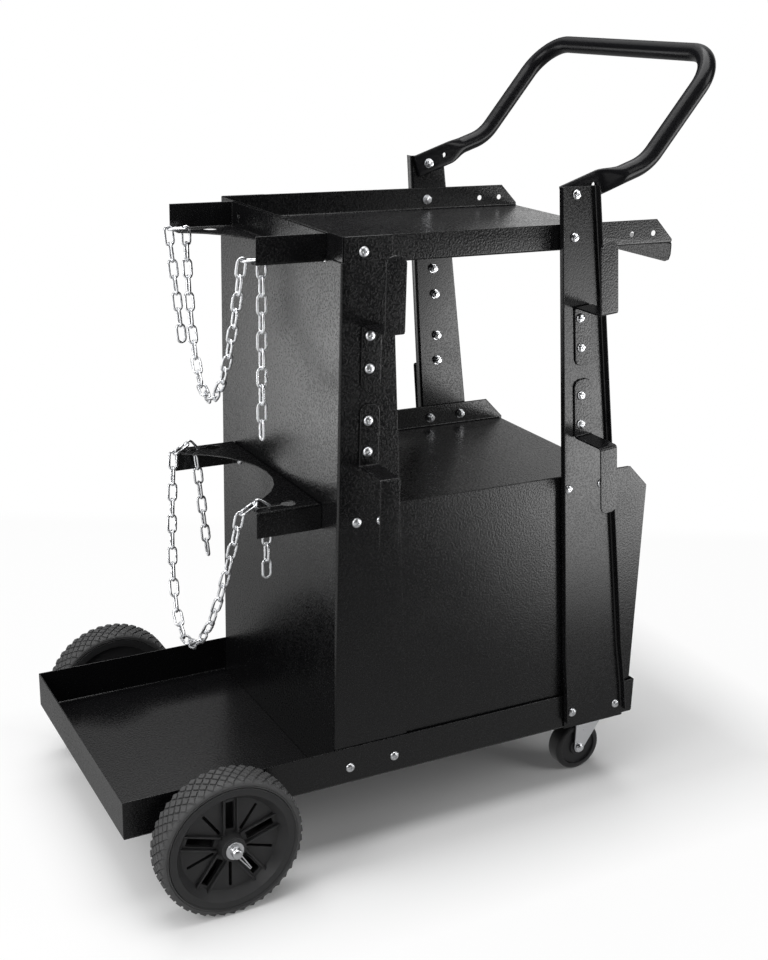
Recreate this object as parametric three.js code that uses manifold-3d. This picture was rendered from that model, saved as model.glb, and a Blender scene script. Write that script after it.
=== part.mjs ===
// Welding cart of folded sheet steel: a cylinder platform, a cabinet, two shelves, cable hooks and chains.
// Millimetres, +Z up, ground at Z = 0. X runs from the cylinder end (rear) to the handle end (front).
import * as THREE from "three";
import { mergeVertices } from "three/addons/utils/BufferGeometryUtils.js";
import Module from "manifold-3d";

const wasm = await Module();
wasm.setup();

// Sheet steel and fits
const sheet = 1.5;
const bend = 2;
const fit = 0.3;
const bendSteps = 2;
const holeSteps = 6;
const arcSteps = 14;
const reach = 40;

// Base tray
const trayLength = 725;
const trayWidth = 358;
const trayFlange = 50;
const trayClearance = 99;

// Cabinet and shelves, heights above the tray's underside
const panelSetback = 268;
const cabinetInset = 6;
const cabinetHeight = 360;
const lowerShelfFlange = 32;
const lowerShelfInset = 8;
const topShelfHeight = 645;
const topShelfFlange = 31;
const topShelfOverhang = 2;
const shelfLip = 26;
const lipCorner = 10;
const flangeChamfer = 29;
const shelfHole = 7;
const shelfHoleDrop = 17;
const shelfHoleSetbacks = [33, 65.5];
const hangHole = 8;
const hangSlot = 3;
const hangSlotDrop = 9;
const hangSpread = 113;
const hangRise = 15;

// Wings of the back panel, and front posts
const postDepth = 10.5;
const postFootRelief = 12;
const wingTopWidth = 62;
const wingFootWidth = 105;
const frontPostRise = 75;
const frontPostTopInset = 177.3;
const frontPostTopWidth = 53.3;
const frontPostFootInset = 114.2;
const frontPostFootWidth = 98;
const joggleRise = 60;

// Cable hooks
const hookSheet = 2;
const hookWidth = 25;
const hookReach = 53;
const hookTab = 86;
const hookClearance = 17;
const hookCorner = 8;
const hookUpperDrop = 68;
const hookLowerRise = 52;
const rearHookInset = 38.5;
const frontHookLean = 0.1;
const frontHookInset = 33;

// Handle
const handleTube = 22;
const handleFlat = 5;
const handleFlatHeight = 30;
const handleFlatLength = 52;
const handleTaper = 30;
const handleTaperSteps = 4;
const handleFlatRoundness = 0.4;
const handleEndMargin = 14;
const handleBoltDrop = 10;
const handleBoltInset = 21.4;
const kneeForward = 98;
const kneeRise = 34;
const kneeRadius = 60;
const barForward = 100;
const barRise = 125.5;
const cornerRadius = 50;
const handleHole = 7;
const handleHolePitch = 31;
const tubeSides = 10;
const tubeBendSteps = 4;

// Cylinder brackets
const bracketWidth = 272;
const bracketReach = 83;
const upperBracketDrop = 2.5;
const bracketFlange = 32;
const lowerBracketHeight = 358;
const cylinderRadius = 116;
const cylinderSetback = 45;
const keyholeSpread = 119;
const keyholeHole = 18;
const keyholeInset = 47;
const keyholeSlot = 5;
const keyholeTipMargin = 3;

// Chains
const wire = 3.2;
const linkLength = 26.5;
const linkWidth = 13.5;
const linkBearing = 0.6;
const wireSides = 4;
const bisections = 60;
const crownRings = 4;
const upperLeftOverhang = 9;
const upperRightOverhang = 8;
const lowerLeftOverhang = 13;
const lowerRightOverhang = 8;
const upperLeftEndLinks = 9;
const upperRightEndLinks = 7;
const lowerLeftEndLinks = 4;
const lowerRightEndLinks = 7;
const rightEndLean = 6;
const uprightFall = 90;
const lowerLeftFall = 35;
const lowerRightFall = 50;
const upperOverRise = 0;
const lowerOverRise = 30;

// Links in a loop: an odd number between two arm tips, an even one from a tip to the foot of a slot link.
const upperLoopLinks = 22;
const lowerLoopLinks = 25;
const upperLoopLean = 2.5;
const lowerLoopLean = 7.5;

// Rear wheels
const wheelRadius = 88.9;
const wheelWidth = 40;
const wheelPlace = 113;
const wheelGap = 15.6;
const rimRadius = 78;
const dishRadius = 60;
const rimChamfer = 9;
const dishDepth = 12;
const dishWeb = 6;
const bossRadius = 15;
const bossProud = 2;
const tyreShoulder = 5;
const wideSlot = 10;
const narrowSlot = 3.5;
const slotInner = 21;
const slotOuter = 56;
const slotPairs = 5;
const wheelSides = 28;
const axleRadius = 6;
const axleSides = 12;
const axleOverhang = 9;
const edgeBreak = 1;
const washerRadius = 11;
const washerThickness = 2;
const axleBracketInset = 30;
const axleBracketLength = 50;
const axleBracketWidth = 26;
const axleBracketSheet = 3;
const axleEdge = 8;
const pinWire = 1.6;
const pinLeg = 24;
const pinEye = 3;
const pinEyeSteps = 8;
const pinEyeSpan = 250;
const pinLegGap = 0.1;
const pinTurn = -55;
const pinHole = 4.4;

// Casters
const casterRadius = 35;
const casterWidth = 24;
const casterTread = 4;
const casterHubRadius = 12;
const casterDish = 3;
const casterInset = 55;
const casterSetback = 38;
const casterTrail = 15;
const casterPlateSize = 60;
const casterPlateSheet = 2.5;
const casterPlateCorner = 8;
const casterRaceRadius = 19;
const casterRace = 5;
const forkSheet = 2.5;
const forkGap = 1.2;
const forkFootRadius = 8;
const forkShoulderDrop = 16;
const forkShoulderFlare = 4;
const kingpinRadius = 5;
const kingpinHead = 9;
const kingpinHeadHeight = 2.5;
const casterAxleRadius = 4;
const casterHead = 6.5;
const casterHeadHeight = 4;
const casterSides = 16;

// Places that follow from the sizes
const halfTray = trayWidth / 2;
const deck = trayClearance + sheet;
const postOuter = halfTray - sheet - fit;
const postInner = postOuter - sheet;
const liningOuter = postInner - fit;
const liningInner = liningOuter - sheet;
const underShelf = trayClearance + topShelfHeight;
const shelfTop = underShelf + topShelfFlange;
const shelfRear = panelSetback + sheet + fit;
const liningRear = panelSetback + sheet + bend + fit;
const cabinetFront = trayLength - cabinetInset;
const lowerShelfFront = trayLength - lowerShelfInset;
const topShelfFront = trayLength + topShelfOverhang;
const frontPostHeight = topShelfHeight + frontPostRise;
const frontPostTopRear = trayLength - frontPostTopInset;
const frontPostFootRear = trayLength - frontPostFootInset;
const hookUpperShelf = topShelfHeight - hookUpperDrop;
const hookLowerShelf = cabinetHeight + hookLowerRise;
const hookPlate = (hookUpperShelf - hookLowerShelf - hookClearance) / 2;
const rearHookPlace = panelSetback + rearHookInset;
const handleBoltRise = frontPostHeight - handleBoltDrop;
const bracketTip = panelSetback - bracketReach;
const keyholePlace = bracketTip + keyholeInset;
const casterPlace = trayLength - casterSetback;
const upperPlate = underShelf - upperBracketDrop;
const lowerPlate = trayClearance + lowerBracketHeight;
const axleHeight = wheelRadius;
const left = -1;
const right = 1;

const steelBlack = { color: 0x1b1b1d, roughness: 0.42, metalness: 0.35 };
const glossBlack = { color: 0x141416, roughness: 0.22, metalness: 0.3 };
const zinc = { color: 0xc9cdd2, roughness: 0.3, metalness: 0.9 };
const rubber = { color: 0x2b2b2c, roughness: 0.85, metalness: 0 };
const plastic = { color: 0x1d1d1f, roughness: 0.55, metalness: 0 };

const cart = new THREE.Group();

// Solids and meshes

function solid(geometry) {
  geometry.deleteAttribute("normal");
  geometry.deleteAttribute("uv");
  const welded = mergeVertices(geometry);
  const corners = Array.from(welded.index.array);
  const kept = [];
  for (let i = 0; i < corners.length; i += 3) {
    const [a, b, c] = corners.slice(i, i + 3);
    if (a !== b && b !== c && c !== a) {
      kept.push(a, b, c);
    }
  }
  const vertProperties = new Float32Array(welded.attributes.position.array);
  const triVerts = new Uint32Array(kept);
  return new wasm.Manifold(new wasm.Mesh({ numProp: 3, vertProperties, triVerts }));
}

function addPiece(parent, name, finish, shape) {
  const { vertProperties, triVerts } = shape.getMesh();
  const geometry = new THREE.BufferGeometry();
  geometry.setAttribute("position", new THREE.BufferAttribute(vertProperties, 3));
  geometry.setIndex(new THREE.BufferAttribute(triVerts, 1));
  geometry.computeVertexNormals();
  const mesh = new THREE.Mesh(geometry, new THREE.MeshStandardMaterial(finish));
  mesh.name = name;
  parent.add(mesh);
  return mesh;
}

function union(shapes) {
  return shapes.reduce((whole, shape) => whole.add(shape));
}

// Outlines and extrusions. Along "x" an outline's axes are (y, z), along "y" (x, z) and along "z" (x, y).

const X = new THREE.Vector3(1, 0, 0);
const Y = new THREE.Vector3(0, 1, 0);
const Z = new THREE.Vector3(0, 0, 1);

function extrude(outline, axis, from, to, steps = holeSteps) {
  const geometry = new THREE.ExtrudeGeometry(outline, {
    depth: to - from,
    steps: 1,
    bevelEnabled: false,
    curveSegments: steps,
  });
  const place = new THREE.Matrix4();
  if (axis === "x") {
    place.makeBasis(Y, Z, X).setPosition(from, 0, 0);
  } else if (axis === "y") {
    place.makeBasis(X, Z, Y.clone().negate()).setPosition(0, to, 0);
  } else {
    place.setPosition(0, 0, from);
  }
  return solid(geometry.applyMatrix4(place));
}

function polygon(points) {
  return new THREE.Shape(points.map(([u, v]) => new THREE.Vector2(u, v)));
}

function rectangle(u0, v0, u1, v1) {
  return polygon([[u0, v0], [u1, v0], [u1, v1], [u0, v1]]);
}

function circle(u, v, radius) {
  const outline = new THREE.Shape();
  outline.absarc(u, v, radius, 0, 2 * Math.PI, false);
  return outline;
}

function cornerArc(outline, u, v, radius, start) {
  for (let i = 0; i <= bendSteps; i += 1) {
    const angle = start + (i / bendSteps) * (Math.PI / 2);
    outline.lineTo(u + radius * Math.cos(angle), v + radius * Math.sin(angle));
  }
}

// A rectangle with its lower corners, and if asked its upper ones, rounded.
function roundedRectangle(u0, v0, u1, v1, lower, upper) {
  const outline = new THREE.Shape();
  outline.moveTo(u0, v0 + lower);
  cornerArc(outline, u0 + lower, v0 + lower, lower, Math.PI);
  cornerArc(outline, u1 - lower, v0 + lower, lower, 1.5 * Math.PI);
  cornerArc(outline, u1 - upper, v1 - upper, upper, 0);
  cornerArc(outline, u0 + upper, v1 - upper, upper, 0.5 * Math.PI);
  return outline;
}

// A strip of sheet folded along a line: points of its outline, round the bends.
function foldedStrip(corners, thickness, radius) {
  const line = corners.map(([u, v]) => new THREE.Vector2(u, v));
  const near = [];
  const far = [];
  const put = (point, normal) => {
    near.push(point.clone().addScaledVector(normal, thickness / 2));
    far.unshift(point.clone().addScaledVector(normal, -thickness / 2));
  };
  const normalOf = (a, b) => new THREE.Vector2(a.y - b.y, b.x - a.x).normalize();
  put(line[0], normalOf(line[0], line[1]));
  for (let i = 1; i < line.length - 1; i += 1) {
    const before = normalOf(line[i - 1], line[i]);
    const after = normalOf(line[i], line[i + 1]);
    const turn = Math.sign(before.cross(after));
    const middleRadius = radius + thickness / 2;
    const half = before.clone().add(after).normalize();
    const centre = line[i].clone().addScaledVector(half, (turn * middleRadius) / half.dot(before));
    for (let step = 0; step <= bendSteps; step += 1) {
      const angle = (step / bendSteps) * Math.atan2(before.cross(after), before.dot(after));
      const normal = before.clone().rotateAround(new THREE.Vector2(), angle);
      put(centre.clone().addScaledVector(normal, -turn * middleRadius), normal);
    }
  }
  const last = line.length - 1;
  put(line[last], normalOf(line[last - 1], line[last]));
  return near.concat(far);
}

// A skin through rings of points, with both ends closed by the given triangles, or running into itself.
function skin(rings, caps) {
  const count = rings[0].length;
  const triangles = [];
  const spans = caps ? rings.length - 1 : rings.length;
  for (let i = 0; i < spans; i += 1) {
    const here = i * count;
    const next = ((i + 1) % rings.length) * count;
    for (let k = 0; k < count; k += 1) {
      const beside = (k + 1) % count;
      triangles.push(here + k, here + beside, next + beside, here + k, next + beside, next + k);
    }
  }
  if (caps) {
    const end = (rings.length - 1) * count;
    caps.forEach(([a, b, c]) => triangles.push(c, b, a, end + a, end + b, end + c));
  }
  const geometry = new THREE.BufferGeometry().setFromPoints(rings.flat());
  geometry.setIndex(triangles);
  return solid(geometry);
}

// A solid through flat outlines at rising heights.
function loft(outlines, heights) {
  const turned = THREE.ShapeUtils.isClockWise(outlines[0]);
  const ordered = outlines.map((outline) => (turned ? outline.slice().reverse() : outline));
  const caps = THREE.ShapeUtils.triangulateShape(ordered[0], []);
  const rings = ordered.map((outline, i) => outline.map((p) => new THREE.Vector3(p.x, p.y, heights[i])));
  return skin(rings, caps);
}

// A turned piece about the Y axis: profile points are (radius, place along Y).
function turned(profile, sides) {
  const points = profile.map(([radius, place]) => new THREE.Vector2(radius, place));
  return solid(new THREE.LatheGeometry(points, sides));
}

function ringProfile(inner, outer, from, to) {
  return [[inner, from], [outer, from], [outer, to], [inner, to], [inner, from]];
}

// The same piece turned about the Z axis, by standing its geometry up.
function turnedUpright(profile, sides) {
  const points = profile.map(([radius, place]) => new THREE.Vector2(radius, place));
  return solid(new THREE.LatheGeometry(points, sides).rotateX(Math.PI / 2));
}

// A pan folded up from one sheet, with or without its front flange.
function pan(x0, x1, halfWidth, base, height, frontFlange) {
  const front = frontFlange ? x1 : x1 + reach;
  const rounded = (inset, radius, top) => {
    const across = roundedRectangle(inset - halfWidth, base + inset, halfWidth - inset, top, radius, 0);
    const along = roundedRectangle(x0 + inset, base + inset, front - inset, top, radius, 0);
    return extrude(across, "x", x0 - reach, x1 + reach).intersect(extrude(along, "y", -halfWidth, halfWidth));
  };
  const outer = rounded(0, bend + sheet, base + height);
  const inner = rounded(sheet, bend, base + height + reach);
  const folded = outer.subtract(inner);
  if (frontFlange) {
    return folded;
  }
  return folded.subtract(box(x1, x1 + 2 * reach, halfWidth, base - reach, base + height + reach));
}

function box(x0, x1, halfWidth, z0, z1) {
  return extrude(rectangle(x0, z0, x1, z1), "y", -halfWidth, halfWidth);
}

// Base tray

function baseTray() {
  return pan(0, trayLength, halfTray, trayClearance, trayFlange, true);
}

// Cabinet

// One sheet folded forward at both sides: a panel up to the bracket, and tapered wings past the top shelf.
function backPanel() {
  const foot = deck + fit;
  const faceMiddle = panelSetback + sheet / 2;
  const wingMiddle = postOuter - sheet / 2;
  const tip = panelSetback + wingFootWidth;
  const line = [[tip, -wingMiddle], [faceMiddle, -wingMiddle], [faceMiddle, wingMiddle], [tip, wingMiddle]];
  const folded = extrude(new THREE.Shape(foldedStrip(line, sheet, bend)), "z", foot, shelfTop);
  const outline = extrude(polygon([
    [panelSetback - reach, foot], [tip, foot], [panelSetback + wingTopWidth, shelfTop],
    [panelSetback - reach, shelfTop],
  ]), "y", -halfTray, halfTray);
  const aboveFace = box(panelSetback - reach, liningRear, halfTray, underShelf - fit, shelfTop + reach);
  const seatHalf = bracketWidth / 2 + fit;
  const bracketSeat = box(panelSetback - reach, liningRear, seatHalf, upperPlate - fit, underShelf);
  const trayBends = [left, right].map((side) => {
    const edges = [side * (halfTray - sheet - bend - fit), side * halfTray].sort((a, b) => a - b);
    return extrude(rectangle(edges[0], deck, edges[1], deck + bend + fit), "x", 0, trayLength);
  });
  return folded.intersect(outline).subtract(aboveFace.add(bracketSeat)).subtract(union(trayBends));
}

function sidePanel(side) {
  const top = trayClearance + cabinetHeight;
  const outline = polygon([
    [liningRear, deck + fit],
    [cabinetFront, deck + fit],
    [cabinetFront, top - flangeChamfer],
    [cabinetFront - flangeChamfer, top],
    [liningRear, top],
  ]);
  const faces = [side * liningInner, side * liningOuter].sort((a, b) => a - b);
  return extrude(outline, "y", faces[0], faces[1]);
}

// A shelf: a pan with no front flange, cut-off front corners, and a lip turned down at the front.
function shelf(rear, front, halfWidth, base, flange, rearFlange) {
  const turn = bend + sheet;
  const top = base + flange;
  const tray = pan(rearFlange ? rear : rear - reach, front - turn, halfWidth, base, flange, false);
  const behind = box(rear - 2 * reach, rear, halfWidth + reach, base - reach, top + reach);
  const trimmed = rearFlange ? tray : tray.subtract(behind);
  const slope = Math.min(flangeChamfer, flange - sheet);
  const corner = extrude(polygon([
    [front - slope, top], [front, top - slope], [front + reach, top - slope], [front + reach, top + reach],
    [front - slope, top + reach],
  ]), "y", -halfWidth - reach, halfWidth + reach);
  const middle = base + sheet / 2;
  const lipFoot = base + sheet - shelfLip;
  const lipFace = front - sheet / 2;
  const strip = foldedStrip([[front - 2 * turn, middle], [lipFace, middle], [lipFace, lipFoot]], sheet, bend);
  const lip = extrude(new THREE.Shape(strip), "y", turn - halfWidth, halfWidth - turn);
  const lipOutline = roundedRectangle(turn - halfWidth, lipFoot, halfWidth - turn, top, lipCorner, 0);
  const lipRounded = lip.intersect(extrude(lipOutline, "x", front - reach, front + reach));
  return trimmed.subtract(corner).add(lipRounded);
}

function lowerShelf() {
  const base = trayClearance + cabinetHeight - lowerShelfFlange;
  return shelf(liningRear, lowerShelfFront, liningInner - fit, base, lowerShelfFlange, false);
}

// Round holes with a narrow slot running down, through the top shelf's rear flange and the bracket behind it.
function hangingHoles() {
  const z = underShelf + hangRise;
  const shapes = [left, right].flatMap((side) => {
    const y = side * hangSpread;
    return [circle(y, z, hangHole / 2), rectangle(y - hangSlot / 2, z - hangSlotDrop, y + hangSlot / 2, z)];
  });
  const half = reach / 2;
  return union(shapes.map((shape) => extrude(shape, "x", shelfRear - half, shelfRear + half)));
}

function topShelf() {
  const plain = shelf(shelfRear, topShelfFront, liningOuter, underShelf, topShelfFlange, true);
  const holes = shelfHoleSetbacks.map((setback) => {
    const hole = circle(topShelfFront - setback, shelfTop - shelfHoleDrop, shelfHole / 2);
    return extrude(hole, "y", -halfTray, halfTray);
  });
  return plain.subtract(union(holes)).subtract(hangingHoles());
}

// Front posts

// Outline of a channel that opens outward, at one height.
function channel(side, rear, front, webOuter) {
  const web = side * (webOuter - sheet / 2);
  const tip = side * (webOuter - sheet + postDepth);
  const corners = [
    [rear + sheet / 2, tip], [rear + sheet / 2, web], [front - sheet / 2, web], [front - sheet / 2, tip]];
  return foldedStrip(corners, sheet, bend);
}

function frontPostEdge(height) {
  const share = height / frontPostHeight;
  const rear = THREE.MathUtils.lerp(frontPostFootRear, frontPostTopRear, share);
  const width = THREE.MathUtils.lerp(frontPostFootWidth, frontPostTopWidth, share);
  return { rear, front: rear + width };
}

function frontPost(side) {
  const lapped = halfTray + fit + sheet;
  const joggled = trayFlange + joggleRise;
  const stations = [[0, lapped], [trayFlange, lapped], [joggled, postOuter], [frontPostHeight, postOuter]];
  const outlines = stations.map(([height, webOuter]) => {
    const edge = frontPostEdge(height);
    return channel(side, edge.rear, edge.front, webOuter);
  });
  const post = loft(outlines, stations.map(([height]) => trayClearance + height));
  const edges = [side * lapped, side * (lapped + reach)].sort((a, b) => a - b);
  const relief = rectangle(edges[0], trayClearance - reach, edges[1], trayClearance + postFootRelief);
  return post.subtract(extrude(relief, "x", 0, trayLength));
}

// Cable hooks: a bolted plate, a shelf outward and a tab, up for the upper hook and down for the lower.
function cableHook(side, up) {
  const plate = side * (postOuter + fit + hookSheet / 2);
  const tab = plate + side * hookReach;
  const line = [[plate, -up * hookPlate], [plate, 0], [tab, 0], [tab, up * hookTab]];
  const strip = foldedStrip(line, hookSheet, bend);
  const folded = extrude(new THREE.Shape(strip), "x", -hookWidth / 2, hookWidth / 2);
  const low = Math.min(-up * hookPlate, up * hookTab);
  const high = Math.max(-up * hookPlate, up * hookTab);
  const front = roundedRectangle(-hookWidth / 2, low, hookWidth / 2, high, hookCorner, hookCorner);
  const span = halfTray + hookReach + reach;
  return folded.intersect(extrude(front, "y", -span, span));
}

function addHook(side, end, level) {
  const up = level === "upper" ? 1 : -1;
  const height = level === "upper" ? hookUpperShelf : hookLowerShelf;
  const mesh = addPiece(cart, `${sideName(side)}_${end}_${level}_hook`, steelBlack, cableHook(side, up));
  if (end === "rear") {
    mesh.position.set(rearHookPlace, 0, trayClearance + height);
    return;
  }
  mesh.position.set(frontPostEdge(height).rear + frontHookInset, 0, trayClearance + height);
  mesh.rotation.y = -Math.atan(frontHookLean);
}

// Handle: one bent tube, drawn as rings that flatten inward, to pass inside the posts, at its bolted ends.
function handle() {
  const middle = liningOuter - handleFlat + handleTube / 2;
  const boltPlace = frontPostEdge(handleBoltRise).rear + handleBoltInset;
  const bolt = new THREE.Vector2(boltPlace, trayClearance + handleBoltRise);
  const knee = bolt.clone().add(new THREE.Vector2(kneeForward, kneeRise));
  const bar = knee.clone().add(new THREE.Vector2(barForward, barRise));
  const start = bolt.clone().addScaledVector(knee.clone().sub(bolt).normalize(), -handleEndMargin);
  const corners = [
    new THREE.Vector3(start.x, -middle, start.y),
    new THREE.Vector3(knee.x, -middle, knee.y),
    new THREE.Vector3(bar.x, -middle, bar.y),
    new THREE.Vector3(bar.x, middle, bar.y),
    new THREE.Vector3(knee.x, middle, knee.y),
    new THREE.Vector3(start.x, middle, start.y),
  ];
  const path = roundedPath(corners, [kneeRadius, cornerRadius, cornerRadius, kneeRadius]);
  const tube = tubeAlong(path, handleFlatShare);
  const along = knee.clone().sub(bolt).normalize();
  const holes = [0, handleHolePitch].map((distance) => {
    const place = bolt.clone().addScaledVector(along, distance);
    return extrude(circle(place.x, place.y, handleHole / 2), "y", -halfTray, halfTray);
  });
  return tube.subtract(union(holes));
}

function handleFlatShare(distance) {
  return 1 - THREE.MathUtils.smoothstep(distance, handleFlatLength, handleFlatLength + handleTaper);
}

// Points along straight runs joined by arcs, with extra points where the flattened ends begin and finish.
function roundedPath(corners, radii) {
  const points = [corners[0]];
  const endRun = corners[1].clone().sub(corners[0]).normalize();
  const stops = Array.from({ length: handleTaperSteps + 1 },
    (_, i) => handleFlatLength + (i / handleTaperSteps) * handleTaper);
  stops.forEach((stop) => points.push(corners[0].clone().addScaledVector(endRun, stop)));
  radii.forEach((radius, i) => {
    const corner = corners[i + 1];
    const before = corners[i].clone().sub(corner).normalize();
    const after = corners[i + 2].clone().sub(corner).normalize();
    const half = before.angleTo(after) / 2;
    const inward = before.clone().add(after).normalize();
    const centre = corner.clone().addScaledVector(inward, radius / Math.sin(half));
    const first = corner.clone().addScaledVector(before, radius / Math.tan(half)).sub(centre);
    const axis = before.clone().cross(after).normalize();
    const sweep = Math.PI - 2 * half;
    for (let step = 0; step <= tubeBendSteps; step += 1) {
      const turn = first.clone().applyAxisAngle(axis, -(step / tubeBendSteps) * sweep);
      points.push(centre.clone().add(turn));
    }
  });
  const last = corners[corners.length - 1];
  const lastRun = corners[corners.length - 2].clone().sub(last).normalize();
  stops.slice().reverse().forEach((stop) => points.push(last.clone().addScaledVector(lastRun, stop)));
  points.push(last);
  return points;
}

// Rings of a tube along points, turned with the path and flattened across Y by a share of 0 to 1.
function tubeAlong(points, flatShare) {
  const lengths = [0];
  points.forEach((point, i) => i > 0 && lengths.push(lengths[i - 1] + point.distanceTo(points[i - 1])));
  const total = lengths[lengths.length - 1];
  const tangents = points.map((point, i) => {
    const from = points[Math.max(i - 1, 0)];
    const to = points[Math.min(i + 1, points.length - 1)];
    return to.clone().sub(from).normalize();
  });
  let across = Y.clone();
  const rings = points.map((point, i) => {
    if (i > 0) {
      const turn = new THREE.Quaternion().setFromUnitVectors(tangents[i - 1], tangents[i]);
      across = across.clone().applyQuaternion(turn);
    }
    const upward = tangents[i].clone().cross(across).normalize();
    const flat = flatShare(Math.min(lengths[i], total - lengths[i]));
    const thickness = THREE.MathUtils.lerp(handleTube, handleFlat, flat) / 2;
    const height = THREE.MathUtils.lerp(handleTube, handleFlatHeight, flat) / 2;
    const roundness = THREE.MathUtils.lerp(1, handleFlatRoundness, flat);
    const bulge = (value) => Math.sign(value) * Math.abs(value) ** roundness;
    const middle = point.clone().addScaledVector(across, handleTube / 2 - thickness);
    return Array.from({ length: tubeSides }, (_, k) => {
      const angle = (2 * Math.PI * (k + 0.5)) / tubeSides;
      return middle.clone()
        .addScaledVector(across, thickness * bulge(Math.cos(angle)))
        .addScaledVector(upward, height * bulge(Math.sin(angle)));
    });
  });
  const caps = Array.from({ length: tubeSides - 2 }, (_, k) => [0, k + 1, k + 2]);
  return skin(rings, caps);
}

// Cylinder bracket, tip at x = 0 and flanges up: two arms round a cut-out, with a keyhole slot in each.
function cylinderBracket(depth) {
  const halfWidth = bracketWidth / 2;
  const folded = pan(-reach, depth, halfWidth, 0, bracketFlange, true);
  const open = folded.subtract(box(-2 * reach, 0, halfWidth + reach, -reach, bracketFlange + reach));
  const cylinder = extrude(
    circle(-cylinderSetback, 0, cylinderRadius), "z", -reach, bracketFlange + reach, arcSteps);
  const keyholes = [left, right].map(keyhole);
  return open.subtract(cylinder).subtract(union(keyholes));
}

function keyhole(side) {
  const y = side * keyholeSpread;
  const place = keyholePlace - bracketTip;
  const hole = extrude(circle(place, y, keyholeHole / 2), "z", -reach, reach / 2);
  const slot = rectangle(keyholeTipMargin, y - keyholeSlot / 2, place, y + keyholeSlot / 2);
  return hole.add(extrude(slot, "z", -reach, reach / 2));
}

// Chain

const linkInside = linkLength - 2 * wire;
const linkPitch = linkInside + linkBearing;
const crownReach = (linkLength - wire) / 2;
const linkRadius = (linkWidth - wire) / 2;

// One link with its middle at a point, its length along one direction and its width along another.
// Its crowns are drawn with straight facets that touch the true round from outside.
function link(middle, along, across) {
  const normal = along.clone().cross(across).normalize();
  const half = crownReach - linkRadius;
  const facet = Math.PI / crownRings;
  const facetRadius = linkRadius / Math.cos(facet / 2);
  const rings = [];
  [1, -1].forEach((end) => {
    for (let i = 0; i < crownRings; i += 1) {
      const angle = (i + 0.5) * facet - Math.PI / 2;
      const outward = along.clone().multiplyScalar(end * Math.cos(angle))
        .addScaledVector(across, end * Math.sin(angle));
      const centre = middle.clone().addScaledVector(along, end * half).addScaledVector(outward, facetRadius);
      rings.push(Array.from({ length: wireSides }, (_, k) => {
        const turn = (2 * Math.PI * k) / wireSides;
        return centre.clone()
          .addScaledVector(outward, -(wire / 2) * Math.cos(turn))
          .addScaledVector(normal, (wire / 2) * Math.sin(turn));
      }));
    }
  });
  return skin(rings, null);
}

// Links between joint points, each turned a quarter from the last and bearing on its neighbours.
function chain(joints, firstAcross) {
  const links = joints.slice(1).map((joint, i) => {
    const along = joint.clone().sub(joints[i]).normalize();
    const middle = joint.clone().add(joints[i]).multiplyScalar(0.5);
    const side = firstAcross.clone().addScaledVector(along, -firstAcross.dot(along)).normalize();
    const across = i % 2 === 0 ? side : along.clone().cross(side).normalize();
    return link(middle, along, across);
  });
  return union(links);
}

// Joints of a loop slung between two points: a catenary as long as its links, swung out by a lean in degrees.
function slungJoints(count, lean, from, to) {
  const length = count * linkPitch;
  const rise = to.z - from.z;
  const level = to.clone().setZ(from.z).sub(from);
  const span = level.length();
  const slack = Math.sqrt(length ** 2 - rise ** 2);
  let low = span / bisections;
  let high = length * bisections;
  for (let pass = 0; pass < bisections; pass += 1) {
    const scale = (low + high) / 2;
    if (2 * scale * Math.sinh(span / (2 * scale)) > slack) {
      low = scale;
    } else {
      high = scale;
    }
  }
  const lowest = span / 2 - high * Math.atanh(rise / length);
  const sag = high * Math.cosh(lowest / high);
  const axis = to.clone().sub(from).normalize();
  return Array.from({ length: count + 1 }, (_, i) => {
    const along = high * Math.asinh((i * linkPitch) / high - Math.sinh(lowest / high));
    const place = level.clone().setLength(1).multiplyScalar(lowest + along)
      .addScaledVector(Z, high * Math.cosh(along / high) - sag);
    return place.applyAxisAngle(axis, THREE.MathUtils.degToRad(lean)).add(from);
  });
}

// Rear wheel, outer face towards -Y, middle at the origin
function tyre() {
  const half = wheelWidth / 2;
  const inner = rimRadius + fit;
  const wall = wheelRadius - tyreShoulder;
  const rounding = wheelRadius - tyreShoulder / 4;
  return turned([
    [inner, -half], [wall, -half], [rounding, tyreShoulder / 2 - half], [wheelRadius, tyreShoulder - half],
    [wheelRadius, half - tyreShoulder], [rounding, half - tyreShoulder / 2], [wall, half], [inner, half],
    [inner, -half],
  ], wheelSides);
}

function wheelHub() {
  const half = wheelWidth / 2;
  const bore = axleRadius + fit;
  const face = dishDepth - half;
  const boss = half + bossProud;
  const rimInner = dishRadius + rimChamfer;
  const body = turned([
    [bore, -boss], [bossRadius, -boss], [bossRadius, face], [dishRadius, face], [rimInner, -half],
    [rimRadius, -half], [rimRadius, half], [rimInner, half], [dishRadius, face + dishWeb],
    [bossRadius, face + dishWeb], [bossRadius, boss], [bore, boss], [bore, -boss],
  ], wheelSides);
  const slots = [];
  for (let i = 0; i < 2 * slotPairs; i += 1) {
    const width = i % 2 === 0 ? wideSlot : narrowSlot;
    const bar = extrude(rectangle(slotInner, -width / 2, slotOuter, width / 2), "y", -half, half);
    slots.push(bar.rotate([0, (180 * i) / slotPairs - 90, 0]));
  }
  return body.subtract(union(slots));
}

const wheelMiddle = halfTray + wheelGap + wheelWidth / 2;
const hubFace = wheelMiddle + wheelWidth / 2 + bossProud;
const hubBack = wheelMiddle - wheelWidth / 2 - bossProud;
const axleEnd = hubFace + fit + washerThickness + axleOverhang;
const pinPlace = hubFace + fit + washerThickness + axleOverhang / 2;

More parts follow.
